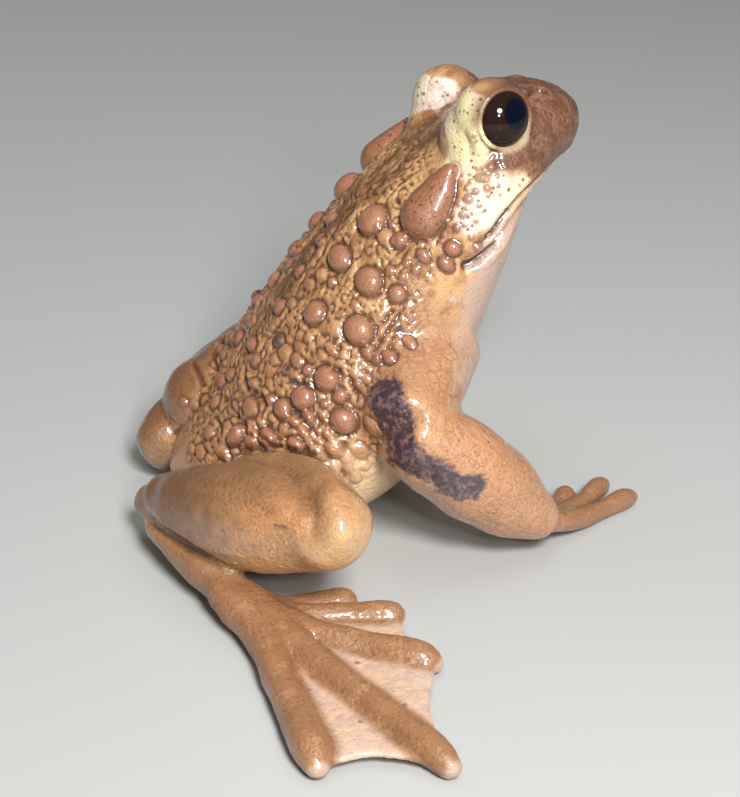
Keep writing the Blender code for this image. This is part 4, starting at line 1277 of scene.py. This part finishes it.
def limb_colour(paint, mask, broad, middle, grains):
    """Olive and orange limbs with brown feet, a pale knee and calf, a darker top, and painted shade toward
    the rear of the legs and in the furrow at the knee.
    """
    return paint.layers(
        LIMB_OLIVE,
        (LIMB_ORANGE, paint.between(broad, 0.35, 0.62) * 0.8),
        (ARM_ORANGE, mask["arm"] * 0.75),
        (FOOT_BROWN, mask["foot"] * 0.8),
        (LIMB_YELLOW, paint.between(middle, 0.52, 0.74) * 0.3),
        (LEG_BROWN, grains * 0.45),
        (LEG_BROWN, mask["dorsal"] * (0.35 + 0.5 * broad)),
        (LIMB_YELLOW, mask["calf"] * 0.7),
        # painted shade toward the rear of the legs
        (LEG_BROWN, mask["rear"] * 0.9),
        # painted shade in the furrow at the knee
        (LEG_BROWN, mask["bend"] * 0.45),
        (LIMB_YELLOW, mask["knee"] * 0.4),
    )


def skin_colour(paint, mask, broad, middle, fine):
    """Ochre skin with brown warts, a cream cheek, a brown snout, pale webs and a pale throat."""
    grains = paint.between(fine * 0.6 + middle * 0.4, 0.47, 0.60)
    specks = paint.between(paint.cells(0.42), 0.30, 0.12)
    specks = specks * paint.between(paint.noise(1.1, seed=3), 0.42, 0.62)
    blots = paint.between(paint.cells(2.6, seed=8), 0.17, 0.08)
    ticks = paint.between(paint.cells(0.95, seed=2), 0.30, 0.18) * paint.between(broad, 0.30, 0.45)
    pits = paint.between(paint.cells(0.8, seed=6), 0.32, 0.18)
    stain = paint.noise(0.8, 4.0, seed=5)
    net = paint.between(paint.cells(1.5, "DISTANCE_TO_EDGE"), 0.02, 0.16)
    limb = limb_colour(paint, mask, broad, middle, grains)
    shoulder = paint.mix(SHOULDER_TAN, ARM_ORANGE, net * paint.between(middle, 0.36, 0.60))
    shoulder = paint.mix(shoulder, LEG_BROWN, grains * 0.35)
    web = paint.mix(WEB_TAN, WEB_MAUVE, paint.between(middle, 0.42, 0.60) * 0.7)
    web = paint.mix(web, TIP_PALE, mask["hem"] * 0.35)
    snout = paint.mix(SNOUT_BROWN, SNOUT_TAN, paint.between(middle * 0.6 + fine * 0.4, 0.44, 0.62) * 0.8)
    cream = paint.mix(CREAM_YELLOW, CREAM_WHITE, paint.between(broad, 0.42, 0.58))
    cream = paint.mix(cream, ARM_ORANGE, paint.between(middle, 0.48, 0.70) * 0.35)
    wart = paint.mix(WART_BROWN, OCHRE, paint.between(middle, 0.5, 0.75) * 0.35)
    gland = paint.mix(GLAND_BROWN, DARK_MARK_AND_SHADE_BROWN, pits * 0.75)
    gland = paint.mix(gland, OCHRE, paint.between(fine, 0.55, 0.70) * 0.3)
    patch = paint.mix(PATCH_PURPLE, PATCH_BLACK, paint.between(stain, 0.34, 0.54))
    bright = (1.0 - mask["cream"] * 0.6) * (1.0 - mask["belly"] * 0.85) * (1.0 - mask["foot"] * 0.6)
    return paint.layers(
        OCHRE,
        (OCHRE_DARK, paint.between(broad * 0.35 + middle * 0.65, 0.46, 0.60) * 0.85),
        (OCHRE_DARK, mask["shade"] * 0.55),
        (shoulder, mask["shoulder"] * 0.9),
        (limb, mask["limb"]),
        (web, mask["web"]),
        (snout, mask["snout"]),
        (THROAT_PINK, mask["throat"]),
        (BELLY_YELLOW, mask["belly"]),
        (cream, mask["cream"]),
        (DARK_MARK_AND_SHADE_BROWN, mask["cream"] * (1.0 - mask["dot"]) * ticks * 0.8),
        (SNOUT_BROWN, mask["lid"] * 0.8),
        (DARK_MARK_AND_SHADE_BROWN, mask["stripe"] * paint.between(middle, 0.3, 0.5) * 0.75),
        (wart, mask["wart"] * 0.9),
        (wart, mask["granule"] * 0.4),
        (WART_BROWN, paint.between(mask["dot"], 0.2, 0.9) * 0.75),
        # brown net between the pebbles, partly painted shade in their gaps
        (DARK_MARK_AND_SHADE_BROWN, mask["net"] * 0.25),
        # painted shade round the foot of the warts
        (DARK_MARK_AND_SHADE_BROWN, mask["edge"] * (1.0 - mask["cream"] * 0.7) * 0.35),
        (gland, mask["gland"]),
        (patch, paint.between(stain * 0.8 + mask["patch"] * 0.6, 0.50, 0.92)),
        # dark spots of the skin, and painted shade along the flank furrows
        (PATCH_BLACK, mask["spot"] * 0.8),
        (TIP_PALE, mask["tip"] * 0.6),
        (DARK_MARK_AND_SHADE_BROWN, specks * 0.55),
        (DARK_MARK_AND_SHADE_BROWN, blots * (mask["web"] + mask["limb"]) * 0.3),
        # painted shade: the skin's hollows are darkened, less on the cream, the belly and the feet
        (DARK_MARK_AND_SHADE_BROWN, mask["furrow"] * bright * 0.85),
        # painted shade in the mouth line, under the jaw, in the nostrils and along the canthus
        (MOUTH_AND_CREASE_SHADE, mask["mouth"] * 0.85),
        (CREAM_YELLOW, mask["rim"] * 0.35),
    )


def skin_paint():
    """The whole skin, with a wet film that is thinner on the snout, feet, mouth and throat."""
    paint = Paint("wet_warty_skin", coat_roughness=0.11, coat_ior=1.7, metallic=0.0)
    mask = {name: paint.mask(name) for name in MARKS}
    broad, middle, fine = paint.noise(7.0), paint.noise(1.8, 4.0), paint.noise(0.35, 2.0)
    sockets = paint.shader.inputs
    paint.feed(sockets["Base Color"], skin_colour(paint, mask, broad, middle, fine))
    paint.feed(sockets["Roughness"], 0.28 + 0.24 * middle + mask["snout"] * 0.14)
    wet = paint.between(broad, 0.3, 0.7) * 0.5 + 0.45
    dull = mask["snout"] * 0.25 + mask["foot"] * 0.35 + mask["mouth"] * 0.4 + mask["throat"] * 0.15
    paint.feed(sockets["Coat Weight"], wet - dull + mask["patch"] * 0.3)
    pores = paint.bump(paint.cells(0.30), 0.06, 0.8)
    paint.feed(sockets["Normal"], paint.bump(paint.noise(0.5, 5.0, 0.62), 0.14, 0.9, pores))
    return paint.material


IRIS_BROWN = (0.016, 0.007, 0.005)
IRIS_GOLD = (0.20, 0.10, 0.03)
# the pupil's faint blue is a painted sheen
PUPIL_BLACK_WITH_BLUE_SHEEN = (0.002, 0.003, 0.010)
PUPIL_RADIUS = 1.75


def eye_paint(side):
    """A near-black eye: a black pupil with a painted bluish sheen in a dark brown iris with a few specks of
    gold.
    """
    paint = Paint("wet_black_eye_" + side, roughness=0.03, coat_weight=0.0, metallic=0.0,
                  specular_ior_level=0.25)
    centre = (EYE_CENTRE[side] + SHIFT) * MM
    look = Vector(PUPIL_LOOK[side]).normalized()
    where = paint.node("ShaderNodeVectorMath", {"operation": "SUBTRACT"},
                       {0: paint.place(), 1: tuple(centre)})
    lean = paint.node("ShaderNodeVectorMath", {"operation": "DOT_PRODUCT"}, {0: where, 1: tuple(look)},
                      output="Value")
    lean = lean * (1 / (EYE_RADIUS * MM))
    edge = math.cos(math.asin(PUPIL_RADIUS / EYE_RADIUS))
    pupil = paint.between(lean, edge - 0.03, edge + 0.015)
    gold = paint.between(paint.noise(0.30, 4.0), 0.62, 0.72) * paint.between(lean, 0.15, 0.6)
    colour = paint.mix(IRIS_BROWN, IRIS_GOLD, gold * 0.5)
    colour = paint.mix(colour, PUPIL_BLACK_WITH_BLUE_SHEEN, pupil)
    paint.feed(paint.shader.inputs["Base Color"], colour)
    return paint.material


def make_eyeball(side, material):
    """A plain glossy ball under the lids."""
    mesh = bpy.data.meshes.new("eyeball_" + side)
    bm = bmesh.new()
    bmesh.ops.create_uvsphere(bm, u_segments=64, v_segments=40, radius=EYE_RADIUS * MM)
    bmesh.ops.translate(bm, vec=(EYE_CENTRE[side] + SHIFT) * MM, verts=bm.verts)
    bm.to_mesh(mesh)
    bm.free()
    mesh.polygons.foreach_set("use_smooth", [True] * len(mesh.polygons))
    mesh.materials.append(material)
    ball = add_object("eyeball_" + side, mesh)
    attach(ball, "root")
    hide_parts("eye_" + side)


skin.data.materials.append(skin_paint())
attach(skin, "root")
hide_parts(*[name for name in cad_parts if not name.startswith("eye")])
for side in SIDES:
    make_eyeball(side, eye_paint(side))

# Camera, from the fit to the photograph
CAMERA_PLACE = Vector((-50.999, -223.225, 123.731))
CAMERA_BACK = Vector((-0.21557, -0.87303, 0.43743))
CAMERA_UP = Vector((0.09079, 0.42810, 0.89916))
PHOTO_HEIGHT = 797
FOCAL_PIXELS = 2047.5
SENSOR = 36.0


def make_camera():
    """The camera at the photograph's viewing angle."""
    data = bpy.data.cameras.new("camera")
    data.sensor_width = SENSOR
    data.lens = FOCAL_PIXELS / PHOTO_HEIGHT * SENSOR
    data.clip_start = 0.01
    camera = bpy.data.objects.new("camera", data)
    bpy.context.scene.collection.objects.link(camera)
    back = CAMERA_BACK.normalized()
    right = CAMERA_UP.cross(back).normalized()
    turn = Matrix((right, back.cross(right), back)).transposed().to_4x4()
    camera.matrix_world = Matrix.Translation((CAMERA_PLACE + SHIFT) * MM) @ turn
    bpy.context.scene.camera = camera


FLOOR_REACH = 1.5           # metres from the middle to each edge
FLOOR_GREY = (0.42, 0.42, 0.405, 1.0)


def make_floor():
    r = FLOOR_REACH
    mesh = bpy.data.meshes.new("floor")
    mesh.from_pydata([(-r, -r, 0), (r, -r, 0), (r, r, 0), (-r, r, 0)], [], [(0, 1, 2, 3)])
    floor = add_object("floor", mesh)
    paint = Paint("pale_floor", roughness=0.85, metallic=0.0)
    paint.feed(paint.shader.inputs["Base Color"], FLOOR_GREY)
    mesh.materials.append(paint.material)


BROAD = 200                 # lights wider than this don't show in the wet film
LIGHT_AIM = (0, 0, 22)
WHITE = (1, 1, 1)
COOL_WHITE = (0.90, 0.95, 1.0)
# Soft lamps: name, place and width in millimetres, watts and colour
LIGHTS = (
    ("key", (8, -296, 290), 110, 2.2, WHITE),
    ("sparkle", (-10, -270, 165), 36, 0.30, WHITE),
    ("top", (60, 60, 520), 500, 0.9, COOL_WHITE),
    ("rim", (-260, 320, 260), 300, 0.3, WHITE),
)
ROOM_LIGHT = 0.10


def make_light(name, place, size, watts, colour):
    """A round area light, aimed at the middle of the model."""
    data = bpy.data.lights.new(name, "AREA")
    data.shape = "DISK"
    data.size = size * MM
    data.energy = watts
    data.color = colour
    light = bpy.data.objects.new(name, data)
    light.visible_glossy = size < BROAD
    bpy.context.scene.collection.objects.link(light)
    aim = Vector(LIGHT_AIM) - Vector(place)
    turn = aim.to_track_quat("-Z", "Y").to_matrix().to_4x4()
    light.matrix_world = Matrix.Translation(Vector(place) * MM) @ turn


def light_room():
    """A faint even light from all round."""
    world = bpy.data.worlds.new("studio")
    bpy.context.scene.world = world
    world.use_nodes = True
    sky = world.node_tree.nodes["Background"]
    sky.inputs["Color"].default_value = (*WHITE, 1)
    sky.inputs["Strength"].default_value = ROOM_LIGHT


bpy.context.scene.view_settings.view_transform = "Standard"
make_camera()
make_floor()
for row in LIGHTS:
    make_light(*row)
light_room()
